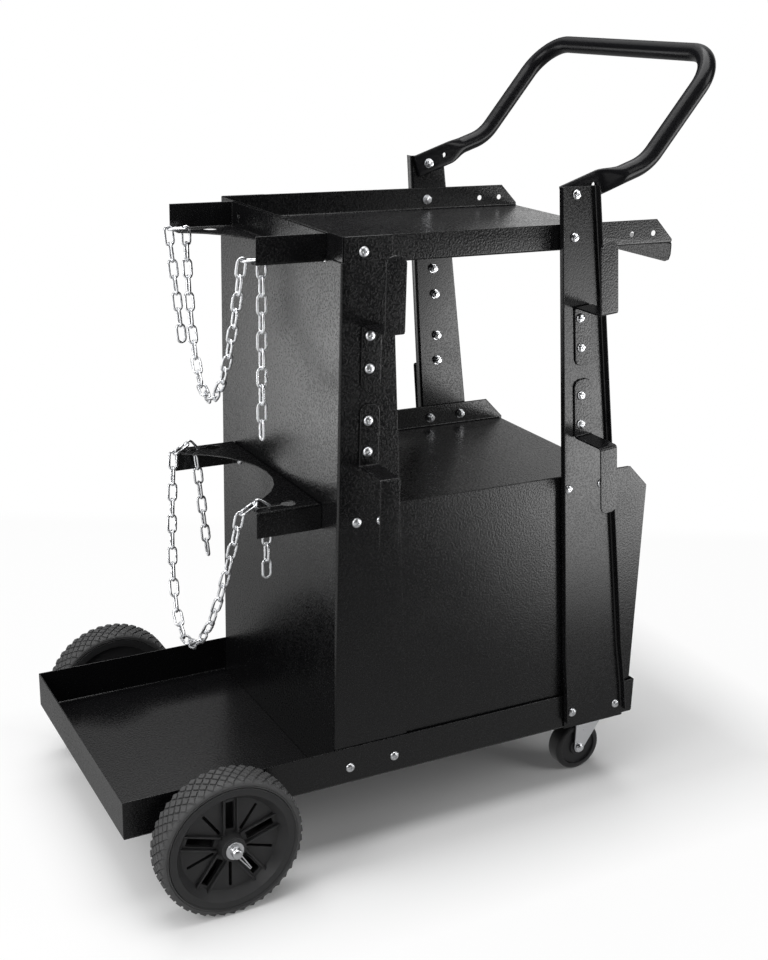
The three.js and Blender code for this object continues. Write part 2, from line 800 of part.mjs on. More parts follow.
function axle() {
  const rod = turned([
    [0, -axleEnd], [axleRadius - edgeBreak, -axleEnd], [axleRadius, edgeBreak - axleEnd],
    [axleRadius, axleEnd - edgeBreak], [axleRadius - edgeBreak, axleEnd], [0, axleEnd],
  ], axleSides);
  const holes = [left, right].map((side) => {
    const turn = THREE.MathUtils.degToRad(pinTurn);
    const hole = new THREE.CylinderGeometry(pinHole / 2, pinHole / 2, reach, axleSides);
    hole.rotateZ(Math.PI / 2).rotateY(-turn).translate(0, side * pinPlace, 0);
    return solid(hole);
  });
  return rod.subtract(union(holes));
}

// A split pin through the axle end: an eye on one side and two legs out of the other.
function splitPin() {
  const turn = THREE.MathUtils.degToRad(pinTurn);
  const along = new THREE.Vector3(Math.cos(turn), 0, Math.sin(turn));
  const beside = Y.clone();
  const half = (pinWire + pinLegGap) / 2;
  const eyeMiddle = -axleRadius - pinEye;
  const span = THREE.MathUtils.degToRad(pinEyeSpan);
  const points = [along.clone().multiplyScalar(pinLeg).addScaledVector(beside, half)];
  points.push(along.clone().multiplyScalar(-axleRadius).addScaledVector(beside, half));
  for (let step = 0; step <= pinEyeSteps; step += 1) {
    const angle = span * (step / pinEyeSteps - 0.5);
    points.push(along.clone().multiplyScalar(eyeMiddle - (pinEye / 2) * Math.cos(angle))
      .addScaledVector(beside, -pinEye * Math.sin(angle)));
  }
  points.push(along.clone().multiplyScalar(-axleRadius).addScaledVector(beside, -half));
  points.push(along.clone().multiplyScalar(pinLeg).addScaledVector(beside, -half));
  return wireAlong(points, pinWire / 2, along.clone().cross(beside));
}

// A thin round wire through points that lie in one plane with the given normal.
function wireAlong(points, radius, normal) {
  const rings = points.map((point, i) => {
    const from = points[Math.max(i - 1, 0)];
    const to = points[Math.min(i + 1, points.length - 1)];
    const tangent = to.clone().sub(from).normalize();
    const side = normal.clone().cross(tangent).normalize();
    return Array.from({ length: wireSides }, (_, k) => {
      const angle = (2 * Math.PI * k) / wireSides;
      return point.clone()
        .addScaledVector(side, radius * Math.cos(angle))
        .addScaledVector(normal, radius * Math.sin(angle));
    });
  });
  const caps = Array.from({ length: wireSides - 2 }, (_, k) => [0, k + 1, k + 2]);
  return skin(rings, caps);
}

// An angle bracket under the tray, with an ear round the axle.
function axleBracket(side) {
  const top = trayClearance - fit;
  const ear = side * (halfTray - axleBracketInset);
  const inward = ear - side * axleBracketWidth;
  const plate = top - axleBracketSheet / 2;
  const foot = axleHeight - axleRadius - axleEdge;
  const strip = foldedStrip([[inward, plate], [ear, plate], [ear, foot]], axleBracketSheet, bend);
  const half = axleBracketLength / 2;
  const folded = extrude(new THREE.Shape(strip), "x", wheelPlace - half, wheelPlace + half);
  const bore = extrude(circle(wheelPlace, axleHeight, axleRadius + fit), "y", -halfTray, halfTray);
  const outline = roundedRectangle(wheelPlace - half, foot, wheelPlace + half, top, axleEdge, 0);
  return folded.intersect(extrude(outline, "y", -halfTray, halfTray)).subtract(bore);
}

// Caster, kingpin axis on Z, with its plate's top at Z = 0

const forkTop = -casterPlateSheet - casterRace - fit;
const casterDrop = casterRadius - trayClearance + fit;

function casterPlate() {
  const half = casterPlateSize / 2;
  const outline = roundedRectangle(-half, -half, half, half, casterPlateCorner, casterPlateCorner);
  const plate = extrude(outline, "z", -casterPlateSheet, 0);
  const raceFoot = -casterPlateSheet - casterRace;
  const race = turnedUpright([
    [0, raceFoot], [casterRaceRadius - casterRace / 2, raceFoot],
    [casterRaceRadius, -casterPlateSheet / 2], [0, -casterPlateSheet / 2],
  ], casterSides);
  return plate.add(race).subtract(extrude(circle(0, 0, kingpinRadius + fit), "z", -reach, reach));
}

function kingpin() {
  const seat = forkTop - forkSheet - fit;
  return turnedUpright([
    [0, seat - kingpinHeadHeight], [kingpinHead - edgeBreak, seat - kingpinHeadHeight], [kingpinHead, seat],
    [kingpinRadius, seat], [kingpinRadius, 0], [0, 0],
  ], axleSides);
}

// A folded fork: round top, and two legs that taper to the wheel's axle.
function casterFork() {
  const inside = casterWidth / 2 + forkGap;
  const legMiddle = inside + forkSheet / 2;
  const top = forkTop - forkSheet / 2;
  const foot = casterDrop - forkFootRadius;
  const strip = foldedStrip(
    [[-legMiddle, foot], [-legMiddle, top], [legMiddle, top], [legMiddle, foot]], forkSheet, bend);
  const width = casterRaceRadius + casterTrail + forkFootRadius;
  const folded = extrude(new THREE.Shape(strip), "x", -width, width);
  const outline = new THREE.Shape();
  outline.moveTo(casterRaceRadius, forkTop);
  outline.lineTo(-casterRaceRadius, forkTop);
  outline.lineTo(-casterRaceRadius - forkShoulderFlare, forkTop - forkShoulderDrop);
  outline.lineTo(-casterTrail - forkFootRadius, casterDrop);
  for (let step = 0; step <= 2 * bendSteps; step += 1) {
    const angle = Math.PI * (1 + step / (2 * bendSteps));
    const across = forkFootRadius * Math.cos(angle) - casterTrail;
    outline.lineTo(across, casterDrop + forkFootRadius * Math.sin(angle));
  }
  outline.lineTo(casterRaceRadius, forkTop - forkShoulderDrop);
  const legs = folded.intersect(extrude(outline, "y", -2 * inside, 2 * inside));
  const bore = extrude(circle(-casterTrail, casterDrop, casterAxleRadius + fit), "y", -reach, reach);
  const eye = extrude(circle(0, 0, kingpinRadius + fit), "z", forkTop - reach / 2, forkTop + reach / 2);
  return legs.subtract(bore).subtract(eye);
}

function casterWheel() {
  const half = casterWidth / 2;
  const bore = casterAxleRadius + fit;
  const rim = casterRadius - 2 * casterTread;
  return turned([
    [bore, -half], [casterHubRadius, -half], [casterHubRadius, casterDish - half],
    [rim, casterDish - half], [rim, -half],
    [casterRadius - casterTread, -half], [casterRadius, casterTread - half],
    [casterRadius, half - casterTread], [casterRadius - casterTread, half],
    [rim, half], [rim, half - casterDish], [casterHubRadius, half - casterDish],
    [casterHubRadius, half], [bore, half], [bore, -half],
  ], casterSides);
}

function casterAxle() {
  const seat = casterWidth / 2 + forkGap + forkSheet + fit;
  const end = seat + casterHeadHeight;
  return turned([
    [0, -end], [casterHead - edgeBreak, -end], [casterHead, edgeBreak - end], [casterHead, -seat],
    [casterAxleRadius, -seat], [casterAxleRadius, seat], [casterHead, seat], [casterHead, end], [0, end],
  ], axleSides);
}

// Assembly

function sideName(side) {
  return side === left ? "left" : "right";
}

addPiece(cart, "base_tray", steelBlack, baseTray());
addPiece(cart, "back_panel", steelBlack, backPanel());
addPiece(cart, "lower_shelf", steelBlack, lowerShelf());
addPiece(cart, "top_shelf", steelBlack, topShelf());
addPiece(cart, "handle", glossBlack, handle());

[left, right].forEach((side) => {
  addPiece(cart, `${sideName(side)}_side_panel`, steelBlack, sidePanel(side));
  addPiece(cart, `${sideName(side)}_front_post`, steelBlack, frontPost(side));
  ["rear", "front"].forEach((end) => {
    addHook(side, end, "upper");
    addHook(side, end, "lower");
  });
});

const upperBracketBack = shelfRear - fit;
const lowerBracketBack = panelSetback - fit;

const holesInBracket = hangingHoles().translate([-bracketTip, 0, -upperPlate]);
const upperBracketShape = cylinderBracket(upperBracketBack - bracketTip).subtract(holesInBracket);
const upperBracket = addPiece(cart, "upper_cylinder_bracket", steelBlack, upperBracketShape);
upperBracket.position.set(bracketTip, 0, upperPlate);
const lowerBracketShape = cylinderBracket(lowerBracketBack - bracketTip);
const lowerBracket = addPiece(cart, "lower_cylinder_bracket", steelBlack, lowerBracketShape);
lowerBracket.position.set(bracketTip, 0, lowerPlate);
lowerBracket.rotation.x = Math.PI;

// Each arm holds two links: one lies or slopes over the arm's tip and one stands in the slot. The loop hangs
// from the tip, or else from the foot of the slot link, and the chain's loose end hangs from the other.
function addChain(level, plateTop, loopLinks, loopLean, overRise, arms) {
  const rise = THREE.MathUtils.degToRad(overRise);
  const overAlong = new THREE.Vector3(Math.cos(rise), 0, Math.sin(rise));
  const hung = new THREE.Vector3(0, 0, wire / 2 + fit + linkBearing / 2);
  const loopEnds = [left, right].map((side) => {
    const name = sideName(side);
    const { overhang, slotFall, endLinks, lean, loopAtTip } = arms[name];
    const fallen = THREE.MathUtils.degToRad(slotFall);
    const slotAlong = new THREE.Vector3(Math.cos(fallen), 0, -Math.sin(fallen));
    const tipHeight = plateTop + (wire / 2 + fit) / Math.cos(rise) - overhang * Math.tan(rise);
    const tip = new THREE.Vector3(bracketTip - overhang, side * keyholeSpread, tipHeight);
    const overMiddle = tip.clone().addScaledVector(overAlong, crownReach);
    const slotMiddle = tip.clone().addScaledVector(overAlong, 2 * crownReach)
      .addScaledVector(slotAlong, crownReach - wire + linkBearing);
    const slotFoot = slotMiddle.clone().addScaledVector(slotAlong, crownReach - linkRadius)
      .addScaledVector(Z, -linkRadius);
    const held = link(overMiddle, overAlong, Y).add(link(slotMiddle, slotAlong, slotAlong.clone().cross(Y)));
    addPiece(cart, `${level}_${name}_anchor_links`, zinc, held);
    const atTip = tip.add(hung);
    const atSlot = slotFoot.add(hung);
    const fall = new THREE.Vector3(0, 0, -linkPitch).applyAxisAngle(Y, -THREE.MathUtils.degToRad(lean));
    const top = loopAtTip ? atSlot : atTip;
    const joints = Array.from({ length: endLinks + 1 }, (_, i) => top.clone().addScaledVector(fall, i));
    addPiece(cart, `${level}_${name}_chain_end`, zinc, chain(joints, loopAtTip ? Y : X));
    return loopAtTip ? atTip : atSlot;
  });
  addPiece(cart, `${level}_chain_loop`, zinc, chain(slungJoints(loopLinks, loopLean, ...loopEnds), X));
}

const upperArms = {
  left: {
    overhang: upperLeftOverhang, slotFall: uprightFall, endLinks: upperLeftEndLinks, lean: 0,
    loopAtTip: true,
  },
  right: {
    overhang: upperRightOverhang, slotFall: uprightFall, endLinks: upperRightEndLinks, lean: rightEndLean,
    loopAtTip: false,
  },
};
const lowerArms = {
  left: {
    overhang: lowerLeftOverhang, slotFall: lowerLeftFall, endLinks: lowerLeftEndLinks, lean: 0,
    loopAtTip: true,
  },
  right: {
    overhang: lowerRightOverhang, slotFall: lowerRightFall, endLinks: lowerRightEndLinks, lean: rightEndLean,
    loopAtTip: true,
  },
};
addChain("upper", upperPlate + sheet, upperLoopLinks, upperLoopLean, upperOverRise, upperArms);
addChain("lower", lowerPlate, lowerLoopLinks, lowerLoopLean, lowerOverRise, lowerArms);

const axlePiece = addPiece(cart, "axle", zinc, axle());
axlePiece.position.set(wheelPlace, 0, axleHeight);

[left, right].forEach((side) => {
  const name = sideName(side);
  addPiece(cart, `${name}_axle_bracket`, steelBlack, axleBracket(side));
  const wheel = new THREE.Group();
  wheel.position.set(wheelPlace, side * wheelMiddle, axleHeight);
  wheel.rotation.z = side === left ? 0 : Math.PI;
  addPiece(wheel, `${name}_tyre`, rubber, tyre());
  addPiece(wheel, `${name}_wheel_hub`, plastic, wheelHub());
  cart.add(wheel);

  const bore = axleRadius + fit;
  const washer = addPiece(cart, `${name}_axle_washer`, zinc,
    turned(ringProfile(bore, washerRadius, -washerThickness / 2, washerThickness / 2), axleSides));
  washer.position.set(wheelPlace, side * (hubFace + fit + washerThickness / 2), axleHeight);
  const bracketFace = halfTray - axleBracketInset + axleBracketSheet / 2;
  const spacerHalf = (hubBack - bracketFace) / 2 - fit;
  const spacer = addPiece(cart, `${name}_axle_spacer`, zinc,
    turned(ringProfile(bore, washerRadius - washerThickness, -spacerHalf, spacerHalf), axleSides));
  spacer.position.set(wheelPlace, (side * (hubBack + bracketFace)) / 2, axleHeight);
  const pin = addPiece(cart, `${name}_split_pin`, zinc, splitPin());
  pin.position.set(wheelPlace, side * pinPlace, axleHeight);

  const caster = new THREE.Group();
  caster.position.set(casterPlace, side * (halfTray - casterInset), trayClearance - fit);
  addPiece(caster, `${name}_caster_plate`, zinc, casterPlate());
  addPiece(caster, `${name}_caster_kingpin`, zinc, kingpin());
  addPiece(caster, `${name}_caster_fork`, zinc, casterFork());
  const rolling = new THREE.Group();
  rolling.position.set(-casterTrail, 0, casterDrop);
  addPiece(rolling, `${name}_caster_wheel`, plastic, casterWheel());
  addPiece(rolling, `${name}_caster_axle`, zinc, casterAxle());
  caster.add(rolling);
  cart.add(caster);
});

// The origin is on the ground, under the middle of the whole cart.
const extent = new THREE.Box3().setFromObject(cart, true);
cart.position.x = -(extent.min.x + extent.max.x) / 2;

export default cart;
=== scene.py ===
"""Welding cart: finished pieces, materials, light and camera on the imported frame."""

from __future__ import annotations

import logging
import math
from dataclasses import dataclass
from enum import Enum
from typing import Iterable, Sequence

import bmesh
import bpy
from mathutils import Matrix, Vector


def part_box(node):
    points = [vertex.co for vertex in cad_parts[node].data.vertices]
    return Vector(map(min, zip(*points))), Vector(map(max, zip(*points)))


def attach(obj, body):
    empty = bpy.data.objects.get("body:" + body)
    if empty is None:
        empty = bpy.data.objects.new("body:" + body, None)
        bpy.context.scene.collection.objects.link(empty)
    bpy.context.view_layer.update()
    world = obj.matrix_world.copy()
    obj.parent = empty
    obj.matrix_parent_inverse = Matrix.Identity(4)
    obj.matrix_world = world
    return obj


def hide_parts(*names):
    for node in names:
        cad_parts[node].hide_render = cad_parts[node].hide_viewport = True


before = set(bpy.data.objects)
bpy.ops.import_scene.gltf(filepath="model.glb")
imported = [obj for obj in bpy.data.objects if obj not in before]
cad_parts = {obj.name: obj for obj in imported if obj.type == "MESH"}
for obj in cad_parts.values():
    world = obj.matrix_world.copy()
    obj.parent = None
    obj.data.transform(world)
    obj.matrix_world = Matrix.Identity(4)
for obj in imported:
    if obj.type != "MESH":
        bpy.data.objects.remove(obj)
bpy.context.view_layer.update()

LOG = logging.getLogger("welding_cart")
MM = 0.001
SMOOTH_BELOW = math.radians(48)
MERGE_WITHIN = 0.01 * MM
FLAT_WITHIN = math.radians(0.5)
TRAY_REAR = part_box("base_tray")[0].x
TRAY_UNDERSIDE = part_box("base_tray")[0].z
X_AXIS = Vector((1, 0, 0))
Y_AXIS = Vector((0, 1, 0))
Z_AXIS = Vector((0, 0, 1))
SMOOTH_COAT = "smooth_coat"
SMOOTH_GRAIN = 0.3
GRAIN_VALLEY = 0.2
GRAIN_CREST = 1.1
WHITE = (1.0, 1.0, 1.0, 1.0)

Colour = tuple[float, float, float]
Pair = tuple[float, float]


class Side(Enum):
    """The two sides of the cart, with the sign of Y on each."""

    LEFT = -1
    RIGHT = 1

    @property
    def label(self) -> str:
        """The side's word in piece names."""
        return self.name.lower()

    @property
    def outward(self) -> Matrix:
        """Turn that faces a piece made for the left side away from the cart."""
        return Matrix.Rotation(0.0 if self is Side.LEFT else math.pi, 4, "Z")


class Level(Enum):
    """The two cylinder brackets and their chains."""

    UPPER = "upper"
    LOWER = "lower"


class Slot(Enum):
    """Material slots of the record."""

    COAT = "black_powder_coat"
    TUBE = "gloss_black_tube"
    ZINC = "zinc_plate"
    RUBBER = "tyre_rubber"
    HUB = "hub_plastic"
    CASTER = "caster_plastic"


def place(x: float, y: float, z: float) -> Vector:
    """Converts a place in millimetres, X from the tray's rear edge, to the row frame in metres."""
    return Vector((TRAY_REAR + x * MM, y * MM, z * MM))


def basis(along: Vector, across: Vector, middle: Vector) -> Matrix:
    """Builds a placing matrix.

    Args:
        along: Direction of the piece's X.
        across: Direction near the piece's Y.
        middle: Place of the piece's origin.

    Returns:
        The matrix that puts a piece there.
    """
    first = along.normalized()
    second = (across - first * across.dot(first)).normalized()
    third = first.cross(second)
    turn = Matrix((first, second, third)).transposed()
    return Matrix.Translation(middle) @ turn.to_4x4()


def section(middle: Vector, axes: Sequence[Vector], radius: float) -> Matrix:
    """Builds the placing matrix of a round section.

    Args:
        middle: Place of its middle in metres.
        axes: Directions of its X and Y, and of the sweep.
        radius: Its radius in metres.

    Returns:
        The matrix that puts a circle of radius 1 there.
    """
    turn = Matrix(axes).transposed().to_4x4()
    return Matrix.Translation(middle) @ turn @ Matrix.Diagonal((radius, radius, radius, 1))


def tangents(points: Sequence[Vector]) -> list[Vector]:
    """Directions of a path at each of its points."""
    ahead = [*points[1:], points[-1]]
    behind = [points[0], *points[:-1]]
    return [(after - before).normalized() for before, after in zip(behind, ahead)]


def mirrored(half: Sequence[Pair]) -> list[Pair]:
    """Completes a turned profile that is the same on both faces."""
    return [*half, *((radius, -along) for radius, along in reversed(half))]


def smoothstep(low: float, high: float, value: float) -> float:
    """Eases from 0 at low to 1 at high."""
    share = min(max((value - low) / (high - low), 0.0), 1.0)
    return share * share * (3 - 2 * share)


@dataclass(frozen=True)
class Ramp:
    """How one range of values maps to another, held at its ends."""

    low: float
    high: float
    to_low: float = 0.0
    to_high: float = 1.0


@dataclass(frozen=True)
class Mottle:
    """A noise pattern, with the range of it that shows."""

    scale: float
    detail: float
    shown: Ramp


class NodeBoard:
    """Adds nodes to one node tree and joins their sockets."""

    def __init__(self, tree: bpy.types.NodeTree) -> None:
        """Keeps the tree that the nodes go in."""
        self.tree = tree

    def add(self, kind: str, **settings: object) -> bpy.types.Node:
        """Adds a node of a kind, with its properties set."""
        node = self.tree.nodes.new(kind)
        for name, value in settings.items():
            setattr(node, name, value)
        return node

    def feed(self, socket: bpy.types.NodeSocket, value: object) -> None:
        """Joins a socket to another one, or sets its value."""
        if isinstance(value, bpy.types.NodeSocket):
            self.tree.links.new(value, socket)
        else:
            socket.default_value = value

    def maths(self, operation: str, first: object, second: object) -> bpy.types.NodeSocket:
        """Adds a maths node and returns its output."""
        node = self.add("ShaderNodeMath", operation=operation)
        self.feed(node.inputs[0], first)
        self.feed(node.inputs[1], second)
        return node.outputs[0]

    def vector(self, operation: str, first: object, second: object) -> bpy.types.NodeSocket:
        """Adds a vector maths node and returns its vector output."""
        node = self.add("ShaderNodeVectorMath", operation=operation)
        self.feed(node.inputs[0], first)
        self.feed(node.inputs[1], second)
        return node.outputs[0]

    def noise(self, vector: object, scale: float = 1.0, detail: float = 1.0) -> bpy.types.NodeSocket:
        """Adds a noise texture and returns its value."""
        node = self.add("ShaderNodeTexNoise")
        self.feed(node.inputs["Vector"], vector)
        node.inputs["Scale"].default_value = scale
        node.inputs["Detail"].default_value = detail
        return node.outputs[0]

    def ramp(self, value: object, ramp: Ramp) -> bpy.types.NodeSocket:
        """Maps a value by a ramp."""
        node = self.add("ShaderNodeMapRange", clamp=True)
        labels = ("Value", "From Min", "From Max", "To Min", "To Max")
        for label, given in zip(labels, (value, ramp.low, ramp.high, ramp.to_low, ramp.to_high)):
            self.feed(node.inputs[label], given)
        return node.outputs["Result"]

    def mottle(self, vector: object, mottle: Mottle) -> bpy.types.NodeSocket:
        """Adds a noise pattern and keeps what shows of it."""
        return self.ramp(self.noise(vector, mottle.scale, mottle.detail), mottle.shown)

    def mix(self, share: object, first: object, second: object) -> bpy.types.NodeSocket:
        """Mixes two colours by a share."""
        node = self.add("ShaderNodeMix", data_type="RGBA")
        self.feed(node.inputs["Factor"], share)
        colours = [socket for socket in node.inputs if socket.type == "RGBA"]
        self.feed(colours[0], first)
        self.feed(colours[1], second)
        return [socket for socket in node.outputs if socket.type == "RGBA"][0]

    def measure(self, vector: object, direction: Sequence[float]) -> bpy.types.NodeSocket:
        """Measures a vector along a direction."""
        node = self.add("ShaderNodeVectorMath", operation="DOT_PRODUCT")
        self.feed(node.inputs[0], vector)
        self.feed(node.inputs[1], direction)
        return node.outputs["Value"]

    def product(self, first: object, *others: object) -> object:
        """Multiplies any number of values."""
        for other in others:
            first = self.maths("MULTIPLY", first, other)
        return first

    def glow(self, strength: object) -> bpy.types.NodeSocket:
        """Adds a white light of a strength."""
        node = self.add("ShaderNodeEmission")
        node.inputs["Color"].default_value = WHITE
        self.feed(node.inputs["Strength"], strength)
        return node.outputs["Emission"]

    def blend(self, share: object, first: object, second: object) -> bpy.types.NodeSocket:
        """Mixes two shaders by a share."""
        node = self.add("ShaderNodeMixShader")
        self.feed(node.inputs[0], share)
        self.feed(node.inputs[1], first)
        self.feed(node.inputs[2], second)
        return node.outputs["Shader"]

    def group(self, tree: bpy.types.NodeTree, **inputs: object) -> bpy.types.Node:
        """Adds a node group with its inputs fed."""
        node = self.add("ShaderNodeGroup", node_tree=tree)
        for label, value in inputs.items():
            self.feed(node.inputs[label], value)
        return node


class Effects:
    """Node groups that the finishes share."""

    VECTOR = "NodeSocketVector"
    VALUE = "NodeSocketFloat"
    PITS = Mottle(1.0, 1.0, Ramp(0.34, 0.6))
    RIPPLE_SCALE = 2.6
    RIPPLE_DETAIL = 2.0
    RIPPLE_SHARE = 0.25
    SMEARS = Mottle(14.0, 5.0, Ramp(0.35, 0.68))
    SCRATCH_RUNS = ((60.0, 60.0, 1400.0), (1300.0, 900.0, 50.0))
    SCRATCH_WIDTH = Ramp(0.72, 0.78)
    SCRATCH_PATCHES = Mottle(30.0, 2.0, Ramp(0.5, 0.62))
    DUST_SPECKS = Mottle(900.0, 3.0, Ramp(0.5, 0.8))
    DUST_PATCHES = Mottle(22.0, 4.0, Ramp(0.4, 0.75))

    def __init__(self) -> None:
        """Builds every group once."""
        self.grain = self.grain_group()
        self.wear = self.wear_group()
        self.dust = self.dust_group()

    @staticmethod
    def start(name: str, inputs: dict[str, str], outputs: Iterable[str]) -> tuple[NodeBoard, dict, dict]:
        """Starts a node group.

        Args:
            name: The group's name.
            inputs: Socket types by label.
            outputs: Labels of value outputs.

        Returns:
            The board, the group's inputs and the sockets that its outputs are fed through.
        """
        tree = bpy.data.node_groups.new(name, "ShaderNodeTree")
        for label, kind in inputs.items():
            tree.interface.new_socket(label, in_out="INPUT", socket_type=kind)
        for label in outputs:
            tree.interface.new_socket(label, in_out="OUTPUT", socket_type=Effects.VALUE)
        board = NodeBoard(tree)
        given = board.add("NodeGroupInput").outputs
        wanted = board.add("NodeGroupOutput").inputs
        return board, given, wanted

    @classmethod
    def grain_group(cls) -> bpy.types.NodeTree:
        """Builds the leather grain of powder coat: soft pits with fine ripples between them."""
        board, given, wanted = cls.start("coat_grain", {"Vector": cls.VECTOR, "Cell": cls.VALUE}, ("Height",))
        per_metre = board.maths("DIVIDE", 1.0, given["Cell"])
        scaled = board.add("ShaderNodeVectorMath", operation="SCALE")
        board.feed(scaled.inputs[0], given["Vector"])
        board.feed(scaled.inputs["Scale"], per_metre)
        pits = board.mottle(scaled.outputs[0], cls.PITS)
        fine = board.noise(scaled.outputs[0], cls.RIPPLE_SCALE, cls.RIPPLE_DETAIL)
        ripple = board.maths("MULTIPLY", fine, cls.RIPPLE_SHARE)
        board.feed(wanted["Height"], board.maths("ADD", pits, ripple))
        return board.tree

    @classmethod
    def wear_group(cls) -> bpy.types.NodeTree:
        """Builds handling marks: broad smears and thin scratches."""
        board, given, wanted = cls.start("handling_wear", {"Vector": cls.VECTOR}, ("Smear", "Scratch"))
        board.feed(wanted["Smear"], board.mottle(given["Vector"], cls.SMEARS))
        runs = [
            board.noise(board.vector("MULTIPLY", given["Vector"], stretch)) for stretch in cls.SCRATCH_RUNS
        ]
        thin = board.ramp(board.maths("MAXIMUM", *runs), cls.SCRATCH_WIDTH)
        patches = board.mottle(given["Vector"], cls.SCRATCH_PATCHES)
        board.feed(wanted["Scratch"], board.maths("MULTIPLY", thin, patches))
        return board.tree

    @classmethod
    def dust_group(cls) -> bpy.types.NodeTree:
        """Builds a mask of fine dust that lies in patches."""
        board, given, wanted = cls.start("fine_dust", {"Vector": cls.VECTOR}, ("Mask",))
        specks = board.mottle(given["Vector"], cls.DUST_SPECKS)
        patches = board.mottle(given["Vector"], cls.DUST_PATCHES)
        board.feed(wanted["Mask"], board.maths("MULTIPLY", specks, patches))
        return board.tree


@dataclass(frozen=True)
class Finish:
    """A painted, plated or moulded surface. Lengths are in metres.

    Valley is the roughness added in the grain's pits.
    """

    slot: Slot
    colour: Colour
    dust_colour: Colour
    metallic: float
    roughness: float
    smear: float
    scratch: float
    grain_cell: float
    grain_depth: float
    dust: float
    valley: float
    specular: float = 0.5

    def material(self, effects: Effects) -> bpy.types.Material:
        """Builds the finish's material.

        Args:
            effects: The shared node groups.

        Returns:
            A procedural material on object coordinates, with less grain where the piece is marked smooth.
        """
        material = bpy.data.materials.new(f"{self.slot.value}_finish")
        material.use_nodes = True
        material.node_tree.nodes.clear()
        board = NodeBoard(material.node_tree)
        where = board.add("ShaderNodeTexCoord").outputs["Object"]
        grain = board.group(effects.grain, Vector=where, Cell=self.grain_cell)
        wear = board.group(effects.wear, Vector=where)
        dust = board.group(effects.dust, Vector=where)
        shader = board.add("ShaderNodeBsdfPrincipled")
        dusty = board.maths("MULTIPLY", dust.outputs["Mask"], self.dust)
        scratched = board.maths("MULTIPLY", wear.outputs["Scratch"], self.scratch)
        pale = board.maths("MAXIMUM", dusty, scratched)
        colour = board.mix(pale, (*self.colour, 1.0), (*self.dust_colour, 1.0))
        board.feed(shader.inputs["Base Color"], colour)
        smears = Ramp(0.0, 1.0, self.roughness, self.roughness + self.smear)
        smeared = board.ramp(wear.outputs["Smear"], smears)
        dull = board.ramp(grain.outputs["Height"], Ramp(GRAIN_VALLEY, GRAIN_CREST, self.valley, 0.0))
        board.feed(shader.inputs["Roughness"], board.maths("ADD", smeared, dull))
        shader.inputs["Metallic"].default_value = self.metallic
        shader.inputs["Specular IOR Level"].default_value = self.specular
        bump = board.add("ShaderNodeBump")
        bump.inputs["Strength"].default_value = 1.0
        bump.inputs["Distance"].default_value = self.grain_depth
        smooth = board.add("ShaderNodeAttribute", attribute_name=SMOOTH_COAT).outputs["Fac"]
        share = board.ramp(smooth, Ramp(0.0, 1.0, 1.0, SMOOTH_GRAIN))
        board.feed(bump.inputs["Height"], board.maths("MULTIPLY", grain.outputs["Height"], share))
        board.feed(shader.inputs["Normal"], bump.outputs["Normal"])
        board.feed(board.add("ShaderNodeOutputMaterial").inputs["Surface"], shader.outputs["BSDF"])
        return material


FINISHES = (
    Finish(
        slot=Slot.COAT,
        colour=(0.0045, 0.0045, 0.005),
        dust_colour=(0.10, 0.10, 0.10),
        metallic=0.0,
        roughness=0.17,
        smear=0.05,
        scratch=0.03,
        grain_cell=2.4 * MM,
        grain_depth=0.068 * MM,
        dust=0.04,
        valley=0.12,
    ),
    Finish(
        slot=Slot.TUBE,
        colour=(0.008, 0.008, 0.009),
        dust_colour=(0.09, 0.09, 0.09),
        metallic=0.0,
        roughness=0.18,
        smear=0.08,
        scratch=0.15,
        grain_cell=6.0 * MM,
        grain_depth=0.05 * MM,
        dust=0.04,
        valley=0.04,
        specular=0.18,
    ),
    Finish(
        slot=Slot.ZINC,
        colour=(0.9, 0.91, 0.93),
        dust_colour=(0.5, 0.51, 0.53),
        metallic=1.0,
        roughness=0.24,
        smear=0.16,
        scratch=0.3,
        grain_cell=1.4 * MM,
        grain_depth=0.03 * MM,
        dust=0.35,
        valley=0.06,
    ),
    Finish(
        slot=Slot.RUBBER,
        colour=(0.07, 0.07, 0.071),
        dust_colour=(0.14, 0.14, 0.14),
        metallic=0.0,
        roughness=0.62,
        smear=0.2,
        scratch=0.1,
        grain_cell=0.9 * MM,
        grain_depth=0.06 * MM,
        dust=0.25,
        valley=0.08,
    ),
    Finish(
        slot=Slot.HUB,
        colour=(0.028, 0.028, 0.029),
        dust_colour=(0.12, 0.12, 0.12),
        metallic=0.0,
        roughness=0.36,
        smear=0.14,
        scratch=0.2,
        grain_cell=1.1 * MM,
        grain_depth=0.05 * MM,
        dust=0.12,
        valley=0.06,
    ),
    Finish(
        slot=Slot.CASTER,
        colour=(0.012, 0.012, 0.013),
        dust_colour=(0.12, 0.12, 0.12),
        metallic=0.0,
        roughness=0.3,
        smear=0.14,
        scratch=0.2,
        grain_cell=0.9 * MM,
        grain_depth=0.04 * MM,
        dust=0.12,
        valley=0.06,
    ),
)


